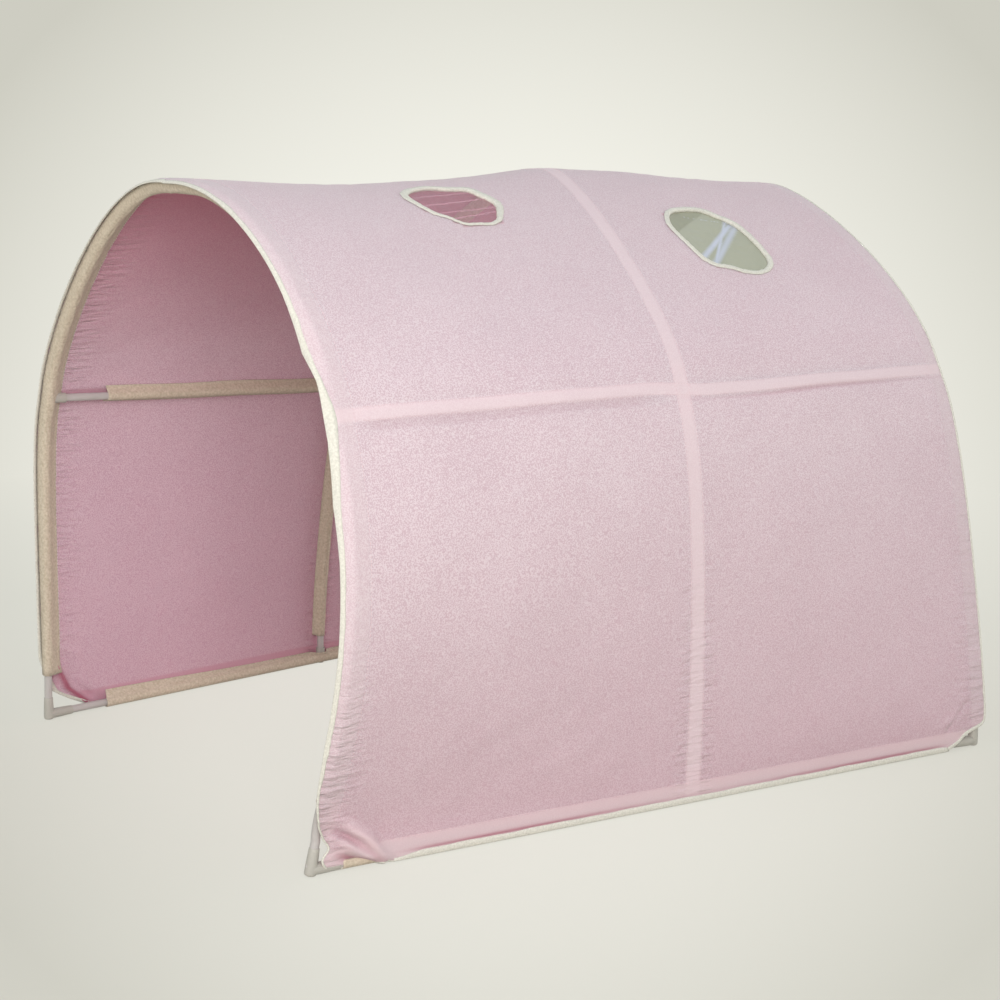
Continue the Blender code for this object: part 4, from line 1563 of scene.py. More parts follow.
WINDOWS = (
    Window(
        "front_window",
        -0.1763,
        0.1059,
        (
            0.0510, 0.0521, 0.0539, 0.0533, 0.0528, 0.0473, 0.0446, 0.0433, 0.0408, 0.0382, 0.0414, 0.0430,
            0.0473, 0.0526, 0.0565, 0.0565, 0.0528, 0.0488, 0.0445, 0.0406, 0.0402, 0.0469, 0.0468, 0.0467,
        ),
        seed=4,
        haze=0.22,
        folds=(
            (-3, -0.026, 0.0016, 0.60), (-5, -0.006, 0.0013, 0.78), (-2, 0.014, 0.0016, 0.56),
            (-6, 0.026, 0.0010, 0.70),
        ),
        tape_outside=0.0056,
        tape_low=0.35,
    ),
    Window(
        "rear_window",
        0.1822,
        0.1885,
        (
            0.0610, 0.0671, 0.0751, 0.0770, 0.0717, 0.0642, 0.0573, 0.0543, 0.0566, 0.0622, 0.0621, 0.0612,
            0.0640, 0.0694, 0.0736, 0.0736, 0.0688, 0.0639, 0.0617, 0.0608, 0.0594, 0.0581, 0.0604, 0.0611,
        ),
        seed=9,
        haze=0.72,
        # The three wide folds make a patch of painted glare; the narrow one is a milky fold mark.
        folds=(
            (142, -0.0135, 0.0120, 0.96), (147, -0.0010, 0.0095, 1.0), (134, -0.0060, 0.0060, 1.0),
            (12, -0.0420, 0.0010, 0.85),
        ),
    ),
)


# Bindings


@dataclass
class Binding:
    """Bias tape folded over the cover's edges."""

    outside: float = 0.0042
    front_right_outside: float = 0.0026
    turned_outside: float = 0.0085
    hem_outside: float = 0.0068
    corner_outside: float = 0.0012
    fold: float = 0.0007
    puff: float = 0.0004
    step: float = 0.0025
    thickness: float = 0.0005

    def outline(self, side: Side) -> tuple[Array, Array, int, int]:
        """The cover's outline on one half: lengths along, runs up, and where its lower edge starts and ends.

        Args:
            side: the half of the tunnel.

        Returns:
            The lengths, the runs, and the numbers of the lower edge's first point and of the one after it.
        """
        top = FORM.top(side)
        down = np.arange(top, FORM.hem_height, -self.step)
        front, rear = -FORM.edge_at(side, True, down), FORM.edge_at(side, False, down)
        low = np.arange(front[-1] + self.step, rear[-1], self.step)
        y = np.concatenate((front, low, rear[::-1]))
        up = np.concatenate((down, np.full(low.shape, FORM.hem_height), down[::-1]))
        return y, up, len(down), len(down) + len(low)

    def section(self, side: Side, y: Array, up: Array, reach: Array) -> Array:
        """The folded tape's section along part of the outline.

        Args:
            side: the half of the tunnel.
            y: lengths along the tunnel.
            up: runs up the cloth.
            reach: how far the outer leg reaches in from the edge, along it.

        Returns:
            A grid of points, a row for each place along the edge.
        """
        way_y, way_up = np.gradient(y), np.gradient(up)
        kernel = np.ones(5) / 5
        way_y, way_up = (np.convolve(np.pad(way, 2, "edge"), kernel, "valid") for way in (way_y, way_up))
        size = np.hypot(way_y, way_up)
        in_y, in_up = -way_up / size, way_y / size
        top, under = FORM.cloth + 0.0004, -0.0004
        legs = (
            (reach, top),
            (reach * 0.55, top + self.puff),
            (reach * 0.12, top + self.puff),
            (-self.fold + 0 * reach, top * 0.7),
            (-self.fold * 1.3 + 0 * reach, FORM.cloth / 2),
            (-self.fold + 0 * reach, under * 0.7),
            (reach * 0.12, under - self.puff * 0.6),
            (reach * 0.85, under),
        )
        columns = []
        for distance, lift in legs:
            at = FORM.station_up(side, up + in_up * distance)
            columns.append(FORM.skin(side, y + in_y * distance, at, lift))
        return np.stack(columns, 1)

    def build_end(self, front: bool, material: Material) -> Object:
        """The tape round one end of the cover, its cut corners included.

        Args:
            front: whether it is the front end.
            material: its finish.

        Returns:
            The dressed tape.
        """
        word = "front" if front else "rear"
        grids = []
        for side in Side:
            y, up, first, last = self.outline(side)
            y, up = (y[: first + 3], up[: first + 3]) if front else (y[last - 2 :], up[last - 2 :])
            wobble = Ripples(40 + side.value, 0.03)(y, up)
            reach = self.outside + 0.0005 * wobble
            if front and side is Side.RIGHT:
                turned = np.exp(-(((up - 0.463) / 0.036) ** 2))
                reach = self.front_right_outside + (self.turned_outside - self.front_right_outside) * turned
                reach = reach + (self.corner_outside - reach) * smooth(0.20, 0.10, up) + 0.0003 * wobble
            grids.append(self.section(side, y, up, reach))
        if front:
            points = np.concatenate((grids[0][::-1], grids[1][1:]))
        else:
            points = np.concatenate((grids[0], grids[1][-2::-1]))
        piece = grid_mesh(f"{word}_edge_binding", points, -ALONG if front else ALONG)
        thicken(piece, self.thickness)
        return dress(piece, "tape", f"{word}_edge_tape", material)

    def build_hem(self, side: Side, material: Material) -> Object:
        """The tape along one lower edge.

        Args:
            side: the half of the tunnel.
            material: its finish.

        Returns:
            The dressed tape.
        """
        y, up, first, last = self.outline(side)
        y, up = y[first - 1 : last + 1], up[first - 1 : last + 1]
        reach = self.hem_outside + 0.0006 * Ripples(50 + side.value, 0.06)(y, y)
        reach = reach * (0.30 + 0.70 * smooth(-FORM.pinch - 0.006, -FORM.pinch + 0.040, y))
        reach = reach * (0.6 + 0.4 * smooth(0.41, 0.37, y))
        piece = grid_mesh(f"{side.word}_hem_binding", self.section(side, y, up, reach), -UP)
        thicken(piece, self.thickness)
        return dress(piece, "tape", f"{side.word}_hem_tape", material)


# Sleeves


def wrap_section(
    centre: Array, along: Array, inward: Array, first: Array, last: Array, radius: Array, steps: int = 14
) -> Array:
    """Taut strips from one seam over a round piece to the other seam.

    Args:
        centre: the round piece's axis, a point a row.
        along: the direction from the first seam to the last, a row each.
        inward: the direction into the tunnel, a row each.
        first: points of the first seam.
        last: points of the last seam.
        radius: of the round piece with its clearance, one a row.
        steps: faces over the round part.

    Returns:
        A grid of points, a row for each section.
    """
    angles = []
    for anchor, turn in ((first, -1), (last, 1)):
        offset = anchor - centre
        x, y = (offset * along).sum(-1), (offset * inward).sum(-1)
        angle = np.arctan2(y, x)
        if turn < 0:
            angle = angle % math.tau
        lean = np.arccos(np.clip(radius / np.hypot(x, y), -1, 1))
        angles.append(angle + turn * lean)
    share = np.linspace(0, 1, steps + 1)
    sweep_angles = angles[0][:, None] + (angles[1] - angles[0])[:, None] * share
    ring = along[:, None] * np.cos(sweep_angles)[..., None] + inward[:, None] * np.sin(sweep_angles)[..., None]
    body = centre[:, None] + ring * np.reshape(radius, (-1, 1, 1))
    near = first + (body[:, 0] - first) * 0.5
    far = last + (body[:, -1] - last) * 0.5
    return np.concatenate((first[:, None], near[:, None], body, far[:, None], last[:, None]), 1)


@dataclass
class Sleeves:
    """Unbleached cotton strips sewn inside the cover, which hold the tubes."""

    cloth: float = 0.0006
    gap: float = 0.0005
    margin: float = 0.0015
    hem: float = 0.0079
    middle_lap: float = 0.0090
    rail_lap: float = 0.0095
    snug: float = 0.0055
    front_foot: float = 0.0435
    front_right_foot: float = 0.095
    middle_foot: float = 0.040
    rear_foot: float = 0.036
    cross_clearance: float = 0.006
    rail_stop: float = 0.026
    left_bare: float = 0.088
    base_top: float = 0.0195
    base_low_top: float = 0.0145
    base_front: float = 0.088
    base_front_right: float = 0.0385
    base_rear: float = 0.060
    base_slant: float = 0.008
    base_tuck: float = 20.0
    base_front_tuck: float = 130.0
    leg_clearance: float = 0.0008
    crinkle: float = 0.0009
    row: float = 0.0045

    def strip(
        self, node: str, grid: Array, away: Array, material: Material
    ) -> None:
        """A strip from its sections: thickened and dressed.

        Args:
            node: the plain solid that it replaces.
            grid: the sections, a row each.
            away: the direction that its middle faces.
            material: its finish.
        """
        piece = grid_mesh(f"{node}_strip", grid, away)
        thicken(piece, self.cloth)
        dress(piece, "sleeve", node, material)

    def hoop_sections(self, place: Place, side: Side, up: Array) -> Array:
        """Sections of a hoop's sleeve at runs up the cloth.

        Args:
            place: which hoop.
            side: the half of the tunnel.
            up: runs up the cloth.

        Returns:
            A grid of points, a row for each section.
        """
        at = FORM.station_up(side, up)
        y, facing = {
            Place.FRONT: (-FEET.hoop_y, 1.0), Place.MIDDLE: (0.0, 1.0), Place.REAR: (FEET.hoop_y, -1.0)
        }[place]
        lap = self.middle_lap if place is Place.MIDDLE else FORM.hoop_lap
        before = lap if place is Place.MIDDLE else self.hem
        centre, out = HOOPS[place, side].line(at)
        first_y, last_y = y - facing * before, y + facing * lap
        first = FORM.skin(side, first_y, at, -self.gap)
        last = FORM.skin(side, last_y, at, -self.gap)
        along = np.broadcast_to(ALONG * facing, centre.shape)
        socket = smooth(0.034, 0.020, np.abs(up - FORM.up_at(side, RAIL_STATION)))
        socket = np.maximum(socket, smooth(0.030, 0.016, FORM.runs[side][-1] - up))
        radius = self.snug + (TUBING.wrap_radius - self.snug) * socket
        grid = wrap_section(centre, along, -out, first, last, radius)
        over = np.broadcast_to(np.arange(grid.shape[1]) * 0.004, grid.shape[:2])
        crinkle = Ripples(60 + side.value, 0.03)(np.broadcast_to(up[:, None], over.shape), over)
        fade = np.sin(np.linspace(0, math.pi, grid.shape[1])) ** 0.5
        grid = grid - out[:, None] * (np.clip(crinkle, 0, 1) * fade * self.crinkle)[..., None]
        flat = FORM.skin(side, last_y + facing * self.margin, at, -self.gap)
        pieces = [grid, flat[:, None]]
        if place is Place.MIDDLE:
            pieces.insert(0, FORM.skin(side, first_y - facing * self.margin, at, -self.gap)[:, None])
        return np.concatenate(pieces, 1)

    def arch_grid(self, place: Place, starts: Sequence[float]) -> Array:
        """Sections of a hoop's sleeve over the crown.

        Args:
            place: which hoop.
            starts: the runs up the cloth where it starts, left and right.

        Returns:
            A grid of points, a row for each section.
        """
        halves = []
        for side, start in zip(Side, starts):
            halves.append(self.hoop_sections(place, side, spaced(((FORM.top(side), self.row),), start)))
        return over_crown(*halves)

    def build_hoops(self, material: Material) -> None:
        """The sleeves of the three hoops; the middle one is in three lengths.

        Args:
            material: the cotton.
        """
        for place, feet in (
            (Place.FRONT, (self.front_foot, self.front_right_foot)), (Place.REAR, (self.rear_foot, self.rear_foot))
        ):
            self.strip(f"{place.value}_hoop_sleeve", self.arch_grid(place, feet), UP, material)
        for side in Side:
            end = float(FORM.up_at(side, LEG_END)) - self.cross_clearance
            grid = self.hoop_sections(Place.MIDDLE, side, spaced(((end, self.row),), self.middle_foot))
            self.strip(f"middle_hoop_sleeve_{side.word}", grid, side.outward, material)
        starts = [float(FORM.up_at(side, ARCH_START)) + self.cross_clearance for side in Side]
        self.strip("middle_hoop_sleeve_top", self.arch_grid(Place.MIDDLE, starts), UP, material)

    def build_rails(self, material: Material) -> None:
        """A sleeve over each half of the side rails.

        Args:
            material: the cotton.
        """
        for side in Side:
            bare = self.left_bare - (FORM.edge - FEET.hoop_y) if side is Side.LEFT else self.rail_stop
            for place, start, end in (
                (Place.FRONT, -FEET.hoop_y + bare, -self.rail_stop),
                (Place.REAR, self.rail_stop, FEET.hoop_y - self.rail_stop),
            ):
                y = spaced(((end, self.row),), start)
                front, rear = FEET.joint(Place.FRONT, side), FEET.joint(Place.REAR, side)
                share = ((y - front[1]) / (rear[1] - front[1]))[:, None]
                centre = front + (rear - front) * share
                run = unit(FORM.base(side, y, ARCH_START)[0] - FORM.base(side, y, LEG_END)[0])
                out = np.stack((run[:, 2], 0 * y, -run[:, 0]), -1) * side.value
                lap = self.rail_lap / (2 * TUBING.joint_arm)
                edge = self.margin / (2 * TUBING.joint_arm)
                lines = [
                    FORM.skin(side, y, RAIL_STATION + offset, -self.gap)
                    for offset in (-lap - edge, -lap, lap, lap + edge)
                ]
                radius = np.full(y.shape, TUBING.diameter / 2 + TUBING.fit)
                grid = wrap_section(centre, run, -unit(out), lines[1], lines[2], radius, 10)
                grid = np.concatenate((lines[0][:, None], grid, lines[3][:, None]), 1)
                self.strip(f"{place.value}_{side.word}_rail_sleeve", grid, side.outward, material)

    def round_stem(self, grid: Array, side: Side) -> Array:
        """Leads a base sleeve round the inner side of the middle leg, which stands in the sleeve's open top.

        Args:
            grid: the sleeve's sections.
            side: the half of the tunnel.

        Returns:
            The sections, moved where the leg stands.
        """
        foot = FEET.foot(Place.MIDDLE, side)
        clear = TUBING.socket_diameter / 2 + self.leg_clearance
        inward = (foot[0] - grid[..., 0]) * side.value
        near = np.exp(-(((grid[..., 1] - foot[1]) / 0.011) ** 4))
        near = near * smooth(TUBING.rail_height - 0.001, TUBING.rail_height + 0.001, grid[..., 2])
        moved = grid.copy()
        moved[..., 0] -= side.value * np.clip(clear - inward, 0, None) * near
        return moved

    def build_bases(self, material: Material) -> None:
        """A sleeve round each pair of base rails.

        Args:
            material: the cotton.
        """
        for side in Side:
            bare = self.base_front if side is Side.LEFT else self.base_front_right
            y = spaced(((FORM.edge - self.base_rear, self.row),), -FORM.edge + bare)
            front, rear = FEET.foot(Place.FRONT, side), FEET.foot(Place.REAR, side)
            share = ((y - front[1]) / (rear[1] - front[1]))[:, None]
            rail = front + (rear - front) * share + UP * TUBING.rail_height
            inward = -side.outward
            height = self.base_low_top + (self.base_top - self.base_low_top) * smooth(-0.10, -0.36, y)
            top = FORM.at_height(side, y, height)
            margin = FORM.at_height(side, y, height + self.margin)
            slant = self.base_slant if side is Side.LEFT else 0.0
            anchor = FORM.skin(side, y + slant, top, -self.gap)
            flat = FORM.skin(side, y + slant, margin, -self.gap)
            offset = anchor - rail
            down, into = -offset[:, 2], (offset * inward).sum(-1)
            radius = TUBING.wrap_radius
            start = np.arctan2(into, down) % math.tau - np.arccos(radius / np.hypot(into, down))
            tuck = -math.radians(self.base_tuck)
            if side is Side.RIGHT:
                # At the front the right sleeve closes round the rail.
                tuck = tuck - (math.radians(self.base_front_tuck) * smooth(-0.372, -0.384, y))[:, None]
            share = np.linspace(0, 1, 19)
            angle = start[:, None] + (tuck - start[:, None]) * share
            below = np.clip(1 - angle / math.radians(50), 0, 1)
            reach = radius + (TUBING.diameter / 2 + TUBING.fit - radius) * below
            ring = -UP * np.cos(angle)[..., None] + inward * np.sin(angle)[..., None]
            body = rail[:, None] + ring * reach[..., None]
            grid = np.concatenate((flat[:, None], anchor[:, None], body), 1)
            grid = self.round_stem(grid, side)
            width = float(np.mean([run_length(section)[-1] for section in grid]))
            flat = (width, float(y[-1] - y[0]))
            self.strip(f"{side.word}_base_sleeve", grid, side.outward, material)


# Tube frame


@dataclass
class TubeFrame:
    """The hoops, rails and sockets that hold the cover up."""

    lip: float = 0.0007

    def tube(self, node: str, line: Array, material: Material) -> None:
        """A smooth tube along a line, in place of a faceted one."""
        piece = sweep(f"{node}_tube", line, np.full(len(line), TUBING.diameter / 2))
        dress(piece, "tube", node, material)

    def build_tubes(self, material: Material) -> None:
        """The legs and arches, from socket to socket, and then the rails.

        Args:
            material: the tube's plastic.
        """
        for (place, side), hoop in HOOPS.items():
            seat = hoop.run * (TUBING.run_web + TUBING.fit)
            joint = np.array(hoop.joint)
            web = TUBING.branch_web if place is Place.MIDDLE else TUBING.run_web
            bottom = np.array(hoop.foot) + UP * (TUBING.rail_height + web + TUBING.fit)
            leg, _ = hoop.line(np.linspace(LEG_START, LEG_END, 60))
            arch, _ = hoop.line(np.linspace(ARCH_START, ARCH_END, 90))
            top = np.array(hoop.crown)
            top[0] = side.value * (TUBING.run_web / 2 + TUBING.fit)
            self.tube(f"{place.value}_{side.word}_leg", np.vstack((bottom, leg, joint - seat)), material)
            self.tube(f"{place.value}_{side.word}_arch", np.vstack((joint + seat, arch, top)), material)
        for side in Side:
            self.build_rails(side, "base", FEET.foot, TUBING.rail_height, TUBING.run_web, material)
            self.build_rails(side, "side", FEET.joint, 0.0, TUBING.branch_web, material)

    def build_rails(
        self,
        side: Side,
        level: str,
        at: Callable[[Place, Side], Array],
        height: float,
        web: float,
        material: Material,
    ) -> None:
        """The two straight tubes of a rail, each from an end hoop to the middle one.

        Args:
            side: the half of the tunnel.
            level: base or side.
            at: gives the point where the rail meets a hoop.
            height: how far over that point the rail runs.
            web: how far from the middle hoop's line its socket's bottom is.
            material: the tube's plastic.
        """
        middle = at(Place.MIDDLE, side) + UP * height
        for place in (Place.FRONT, Place.REAR):
            end = at(place, side) + UP * height
            way = unit(middle - end)
            start = end + way * (TUBING.branch_web + TUBING.fit)
            stop = middle - way * (web + TUBING.fit)
            line = start + (stop - start) * np.linspace(0, 1, 24)[:, None]
            self.tube(f"{place.value}_{side.word}_{level}_rail", line, material)

    def build_elbow(self, place: Place, side: Side, material: Material) -> None:
        """A corner elbow: an upright stem and an arm along the base, rounded at the heel.

        Args:
            place: which hoop.
            side: the half of the tunnel.
            material: the moulded plastic.
        """
        hoop = HOOPS[place, side]
        foot = np.array(hoop.foot)
        radius = TUBING.socket_diameter / 2
        up = unit(hoop.line(np.array(LEG_START))[0] - foot)
        along = unit(FEET.foot(Place.MIDDLE, side) - foot)
        heel = foot + UP * TUBING.rail_height
        mouth = TUBING.diameter / 2 + self.lip
        name = f"{place.value}_{side.word}_elbow"
        bars = []
        for way, start, length, word in (
            (up, foot + UP * 0.0003, TUBING.elbow_stem, "stem"), (along, heel, TUBING.elbow_arm, "arm")
        ):
            profile = (
                (0.0, radius * 0.74), (0.0006, radius * 0.88), (0.0016, radius * 0.97), (0.0030, radius),
                (length * 0.35, radius * 0.99), (length * 0.60, radius * 0.6 + mouth * 0.4),
                (length * 0.85, radius * 0.2 + mouth * 0.8), (length - 0.0005, mouth), (length, mouth - 0.0003),
            )
            steps, radii = (np.array(values) for values in zip(*profile))
            bars.append(sweep(f"{name}_{word}", start + way * steps[:, None], radii, 32))
        piece = combine(bars[0], "UNION", bars[1])
        piece.name = f"{name}_moulding"
        piece.data.set_sharp_from_angle(angle=math.radians(40))
        dress(piece, "socket", name, material)

    def dress_sockets(self, material: Material) -> None:
        """Gives the moulded sockets their plastic, and the four corners their own shape.

        Args:
            material: the moulded plastic.
        """
        for place in (Place.FRONT, Place.REAR):
            for side in Side:
                self.build_elbow(place, side, material)
        words = ("tee", "cross", "ferrule")
        for name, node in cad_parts.items():
            if name.split("_")[-1] in words:
                node.data.materials.clear()
                node.data.materials.append(material)
                LOG.info("%s: socket of the frame", name)


# Stitching


@dataclass
class Stitching:
    """Lockstitches along the seams, each thread end half sunk in the cloth."""

    pitch: float = 0.0042
    length: float = 0.0030
    thread: float = 0.00055
    lean: float = 0.12
    sink: float = 0.15
    spacing: float = 0.006

    def tree(self) -> NodeTree:
        """Nodes that lay short threads along a line of edges.

        Returns:
            The node tree.
        """
        made = bpy.data.node_groups.new("lockstitch", "GeometryNodeTree")
        face = made.interface
        face.new_socket("Line", in_out="INPUT", socket_type="NodeSocketGeometry")
        for name, kind in (
            ("Pitch", "NodeSocketFloat"),
            ("Stitch Length", "NodeSocketFloat"),
            ("Thread Diameter", "NodeSocketFloat"),
            ("Seed", "NodeSocketInt"),
            ("Thread", "NodeSocketMaterial"),
        ):
            face.new_socket(name, in_out="INPUT", socket_type=kind)
        face.new_socket("Stitches", in_out="OUTPUT", socket_type="NodeSocketGeometry")
        add = partial(add_node, made)
        given = add("NodeGroupInput").outputs
        curve = add("GeometryNodeMeshToCurve", {"Mesh": given["Line"]})
        points = add("GeometryNodeCurveToPoints", {"Curve": curve, "Length": given["Pitch"]}, mode="LENGTH")
        thread = add("GeometryNodeMeshUVSphere", {"Segments": 6, "Rings": 6, "Radius": 0.5})
        size = add(
            "ShaderNodeCombineXYZ",
            {0: given["Thread Diameter"], 1: given["Thread Diameter"], 2: given["Stitch Length"]},
        )
        turn = add("FunctionNodeAlignRotationToVector", {"Vector": points.outputs["Tangent"]}, axis="Z")
        jitter = add(
            "FunctionNodeRandomValue",
            {"Min": (-self.lean, -self.lean, 0.0), "Max": (self.lean, self.lean, 0.0), "Seed": given["Seed"]},
            data_type="FLOAT_VECTOR",
        )
        wobble = add("FunctionNodeRotateRotation", {0: turn, 1: jitter}, rotation_space="LOCAL")
        placed = add(
            "GeometryNodeInstanceOnPoints",
            {
                "Points": points.outputs["Points"],
                "Instance": thread.outputs["Mesh"],
                "Rotation": wobble,
                "Scale": size,
            },
        )
        real = add("GeometryNodeRealizeInstances", {"Geometry": placed})
        dressed = add("GeometryNodeSetMaterial", {"Geometry": real, "Material": given["Thread"]})
        add("NodeGroupOutput", {"Stitches": dressed})
        return made

    def seam(self, name: str, lines: Sequence[Array], tree: NodeTree, material: Material, seed: int) -> Object:
        """Stitches along some lines, as one plain mesh.

        Args:
            name: the object's name.
            lines: the lines, a point a row.
            tree: the nodes that lay them.
            material: the thread.
            seed: fixes the random turns.

        Returns:
            The stitches.
        """
        mesh = bpy.data.meshes.new(name)
        points, edges = [], []
        for line in lines:
            first = len(points)
            points += line.tolist()
            edges += [(first + step, first + step + 1) for step in range(len(line) - 1)]
        mesh.from_pydata(points, edges, [])
        piece = bpy.data.objects.new(name, mesh)
        bpy.context.scene.collection.objects.link(piece)
        nodes = piece.modifiers.new("stitches", "NODES")
        nodes.node_group = tree
        sizes = {"Pitch": self.pitch, "Stitch Length": self.length, "Thread Diameter": self.thread}
        values = sizes | {"Seed": seed, "Thread": material}
        for item in tree.interface.items_tree:
            if item.in_out == "INPUT" and item.name in values:
                nodes[item.identifier] = values[item.name]
        finish_mesh(piece)
        piece.data.uv_layers.new(name="cloth")
        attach(piece, BODY)
        LOG.info("%s: %d faces", name, len(piece.data.polygons))
        return piece

    def across(self, y: float, lift: float, foot: float) -> Array:
        """A line over the tunnel at a length, from foot height to foot height.

        Args:
            y: the length along the tunnel.
            lift: height over the cover's inner face.
            foot: the run up the cloth where it starts and ends.

        Returns:
            The line.
        """
        halves = []
        for side in Side:
            up = spaced(((FORM.top(side), self.spacing),), foot)
            at = FORM.station_up(side, up)
            halves.append(FORM.skin(side, y, at, lift))
        return over_crown(*halves)

    def lengthwise(self, side: Side, offset: float, lift: float, margin: float) -> Array:
        """A line beside the side rail, offset up the cloth and stopping short of the cover's ends."""
        y = np.arange(-FORM.edge + margin, FORM.edge - margin, self.spacing)
        return FORM.skin(side, y, RAIL_STATION + (offset + FORM.bow(side, y)) / (2 * TUBING.joint_arm), lift)

    def hem_line(self, side: Side, height: float, lift: float) -> Array:
        """A line along the tunnel at a height over the floor, lifted off the cover's inner face."""
        y = np.arange(-FORM.edge + 0.065, FORM.edge - 0.055, self.spacing)
        return FORM.skin(side, y, FORM.at_height(side, y, height), lift)

    def build(self, white: Material, pink: Material) -> list[Object]:
        """Every seam of the cover.

        Args:
            white: the thread of the inner seam.
            pink: the thread of the outer seams.

        Returns:
            The stitches, a piece for each seam.
        """
        out = FORM.cloth + self.thread * self.sink
        into = -0.0011 - self.thread * self.sink
        hoop = FEET.hoop_y
        lap = FORM.hoop_lap
        band, rail = FORM.hoop_band, FORM.rail_band
        seams = (
            ("front_hem_stitches", [self.across(-hoop + lap, out, 0.075)], pink),
            ("rear_hem_stitches", [self.across(hoop - lap, out, 0.045)], pink),
            ("middle_band_stitches", [self.across(y, out, 0.03) for y in (-band, band)], pink),
            (
                "side_rail_stitches",
                [self.lengthwise(side, offset, out, 0.04) for side in Side for offset in (-rail, rail)],
                pink,
            ),
            ("hem_stitches", [self.hem_line(side, 0.025, out) for side in Side], pink),
            ("inner_front_stitches", [self.across(-hoop + lap + 0.0015, into, 0.06)], white),
        )
        tree = self.tree()
        return [self.seam(name, lines, tree, thread, seed) for seed, (name, lines, thread) in enumerate(seams, 1)]


# Studio


@dataclass(frozen=True)
class Lamp:
    """A square soft lamp that faces the tunnel's middle: its place, its side in metres and its watts."""

    name: str
    place: tuple[float, float, float]
    size: float
    power: float

    def build(self, colour: str, aim: Vector) -> None:
        """Puts the lamp in the scene.

        Args:
            colour: its light's colour.
            aim: the point that it faces.
        """
        data = bpy.data.lights.new(self.name, "AREA")
        data.size = self.size
        data.energy = self.power
        data.color = linear(colour)[:3]
        lamp = bpy.data.objects.new(self.name, data)
        lamp.location = self.place
        lamp.rotation_euler = (aim - Vector(self.place)).to_track_quat("-Z", "Y").to_euler()
        bpy.context.scene.collection.objects.link(lamp)


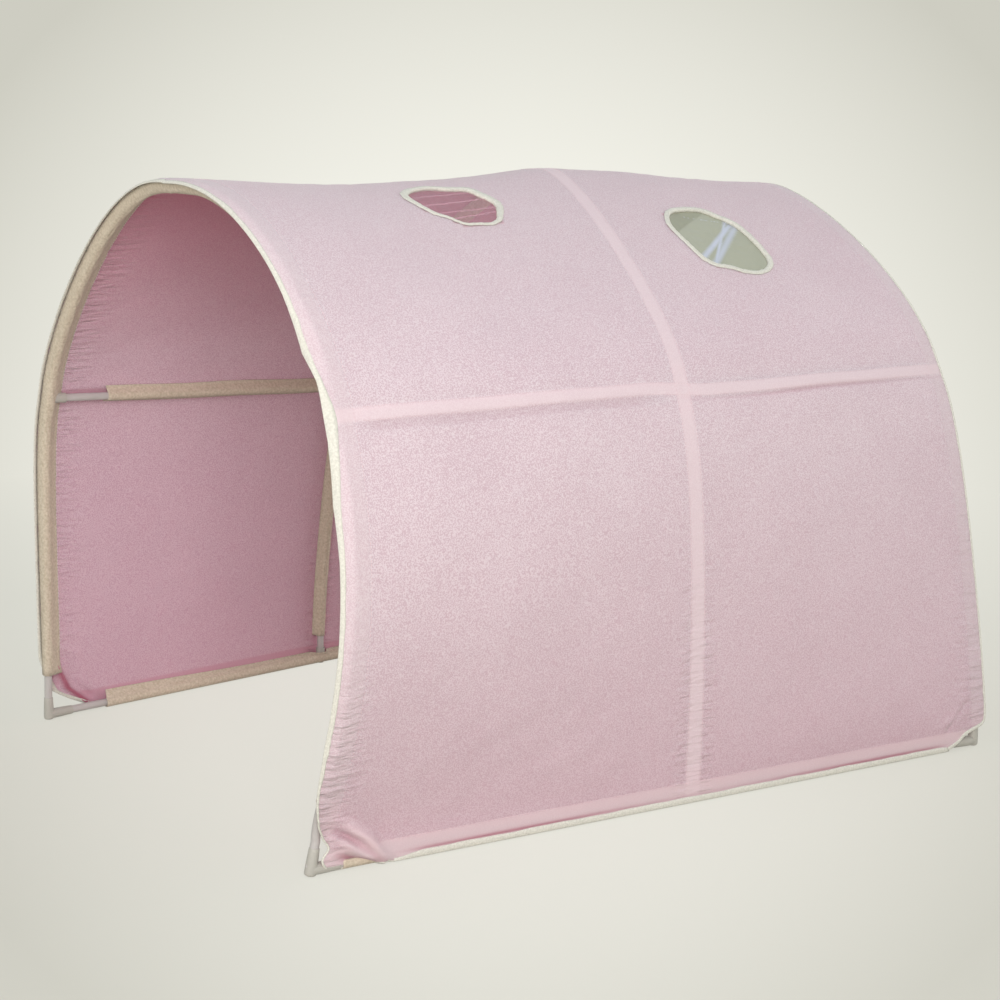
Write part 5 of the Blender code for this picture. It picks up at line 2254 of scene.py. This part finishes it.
@dataclass
class Studio:
    """A plain pale sweep, soft light and the camera."""

    paper: str = "#faf9f0"
    edge_shade_paper: str = "#cecdc2"
    shaded_paper: str = "#cfcec5"
    own_light: float = 0.72
    sky_colour: str = "#f2fbff"
    sky_strength: float = 0.78
    lamp_colour: str = "#fff8f7"
    lamps: tuple[Lamp, ...] = (
        Lamp("key_lamp", (2.3, -1.7, 1.30), 1.4, 60.0),
        Lamp("rear_lamp", (0.55, 3.0, 1.1), 1.6, 36.0),
        Lamp("fill_lamp", (0.3, -3.0, 1.1), 1.6, 13.0),
    )
    aim_height: float = 0.35
    floor_drop: float = 0.0004
    floor_radius: float = 3.2
    sweep_radius: float = 1.6
    wall_top: float = 3.4
    focal_pixels: float = 1677.1
    picture: float = 1000.0
    sensor: float = 36.0
    azimuth: float = 51.2744
    elevation: float = 10.0241
    roll: float = 1.1093
    stand: tuple[float, float, float] = (1.61243, -1.28792, 0.65711)

    def build_camera(self) -> None:
        """The camera at the photograph's view."""
        az, el, roll = (math.radians(a) for a in (self.azimuth, self.elevation, self.roll))
        back = Vector((math.sin(az) * math.cos(el), -math.cos(az) * math.cos(el), math.sin(el)))
        right = Vector((math.cos(az), math.sin(az), 0.0))
        up = back.cross(right)
        right, up = (right * math.cos(roll) + up * math.sin(roll), -right * math.sin(roll) + up * math.cos(roll))
        data = bpy.data.cameras.new("camera")
        data.sensor_width = self.sensor
        data.lens = self.focal_pixels / self.picture * self.sensor
        data.clip_end = 100.0
        camera = bpy.data.objects.new("camera", data)
        camera.matrix_world = Matrix.Translation(self.stand) @ Matrix((right, up, back)).transposed().to_4x4()
        bpy.context.scene.collection.objects.link(camera)
        bpy.context.scene.camera = camera

    def build_sweep(self) -> None:
        """A round floor that curves up into a wall, so that no horizon shows."""
        turns = 96
        arc = np.linspace(0, math.pi / 2, 16)
        radii = [0.3, 1.0, 2.0, self.floor_radius]
        heights = [0.0] * len(radii)
        radii += list(self.floor_radius + self.sweep_radius * np.sin(arc[1:]))
        heights += list(self.sweep_radius * (1 - np.cos(arc[1:])))
        radii.append(radii[-1])
        heights.append(self.wall_top)
        angles = np.linspace(0, math.tau, turns, endpoint=False)[:, None]
        radii, heights = np.array(radii), np.array(heights) - self.floor_drop
        points = np.stack(
            (np.cos(angles) * radii, np.sin(angles) * radii, np.broadcast_to(heights, (turns, len(heights)))), -1
        )
        floor = grid_mesh("paper_sweep", points, UP, wrap=True)
        close_mesh(floor, range(0, turns * len(heights), len(heights)))
        floor.data.shade_smooth()
        floor.data.materials.append(self.paper_material())

    def paper_material(self) -> Material:
        """Matt background paper with painted light: paler round the line of sight and darker out to its edges, as
        the photograph's is.

        Rays from the camera see most of it at its written colour, so that it stays pale; the rest takes light
        and the tunnel's shadow.

        Returns:
            The material.
        """
        made, add = blank_material("background_paper")
        az, el = math.radians(self.azimuth), math.radians(self.elevation)
        ahead = (-math.sin(az) * math.cos(el), math.cos(az) * math.cos(el), -math.sin(el))
        place = add("ShaderNodeTexCoord").outputs["Object"]
        away = add("ShaderNodeVectorMath", {0: place}, operation="LENGTH").outputs["Value"]
        reach = add("ShaderNodeVectorMath", {0: place, 1: self.stand}, operation="SUBTRACT")
        way = add("ShaderNodeVectorMath", {0: reach}, operation="NORMALIZE")
        turn = add("ShaderNodeVectorMath", {0: way, 1: ahead}, operation="DOT_PRODUCT")
        # The paper darkens to the edge colour away from the line of sight: a painted pool of light with painted
        # shade round it.
        painted_falloff, own = (
            add("ShaderNodeMapRange", {"Value": value, "From Min": low, "From Max": high, "To Min": start})
            for value, low, high, start in (
                (turn.outputs["Value"], 0.995, 0.932, 0.0), (away, 1.0, 2.2, self.own_light)
            )
        )
        colour = add(
            "ShaderNodeMix", {0: painted_falloff, 6: linear(self.paper), 7: linear(self.edge_shade_paper)}, data_type="RGBA"
        ).outputs[2]
        path = add("ShaderNodeLightPath").outputs
        seen = path["Is Camera Ray"]
        for kind in ("Is Glossy Ray", "Is Transmission Ray"):
            seen = add("ShaderNodeMath", {0: seen, 1: path[kind]}, operation="MAXIMUM")
        share = add("ShaderNodeMath", {0: seen, 1: own}, operation="MULTIPLY")
        matt = add(
            "ShaderNodeBsdfPrincipled",
            {"Base Color": linear(self.shaded_paper), "Roughness": 0.95, "Specular IOR Level": 0.1},
        )
        glow = add("ShaderNodeEmission", {"Color": colour, "Strength": 1.0})
        shader = add("ShaderNodeMixShader", {0: share, 1: matt, 2: glow})
        add("ShaderNodeOutputMaterial", {"Surface": shader})
        return made

    def build_lights(self) -> None:
        """An even sky, a broad lamp at the front right, and weaker ones at both ends of the tunnel."""
        world = bpy.data.worlds.new("sky")
        bpy.context.scene.world = world
        world.use_nodes = True
        sky = world.node_tree.nodes["Background"]
        sky.inputs["Color"].default_value = linear(self.sky_colour)
        sky.inputs["Strength"].default_value = self.sky_strength
        for lamp in self.lamps:
            lamp.build(self.lamp_colour, Vector((0.0, 0.0, self.aim_height)))

    def build(self) -> None:
        """The whole studio."""
        self.build_camera()
        self.build_sweep()
        self.build_lights()
        bpy.context.scene.view_settings.view_transform = "Standard"


def main() -> None:
    """Builds the studio, the frame's plastic and everything that is sewn."""
    Studio().build()
    tubes = TubeFrame()
    tubes.build_tubes(TUBE_PLASTIC.material())
    tubes.dress_sockets(SOCKET_PLASTIC.material())
    cover = Cover().build(COVER_OUTSIDE.material(), COVER_INSIDE.material())
    tape = BIAS_TAPE.material()
    sewn = []
    for window, film in zip(WINDOWS, (PINK_PAINTED_FILM, CLEAR_FILM)):
        sewn += [window.film(film.material()), window.ring(tape)]
    binding = Binding()
    sewn += [binding.build_end(front, tape) for front in (True, False)]
    sewn += [binding.build_hem(side, tape) for side in Side]
    sewn += Stitching().build(THREAD.material(), PINK_THREAD.material())
    sleeves = Sleeves()
    cotton = NATURAL_COTTON.material()
    sleeves.build_hoops(cotton)
    sleeves.build_rails(cotton)
    sleeves.build_bases(cotton)


if __name__ == "__main__":
    main()
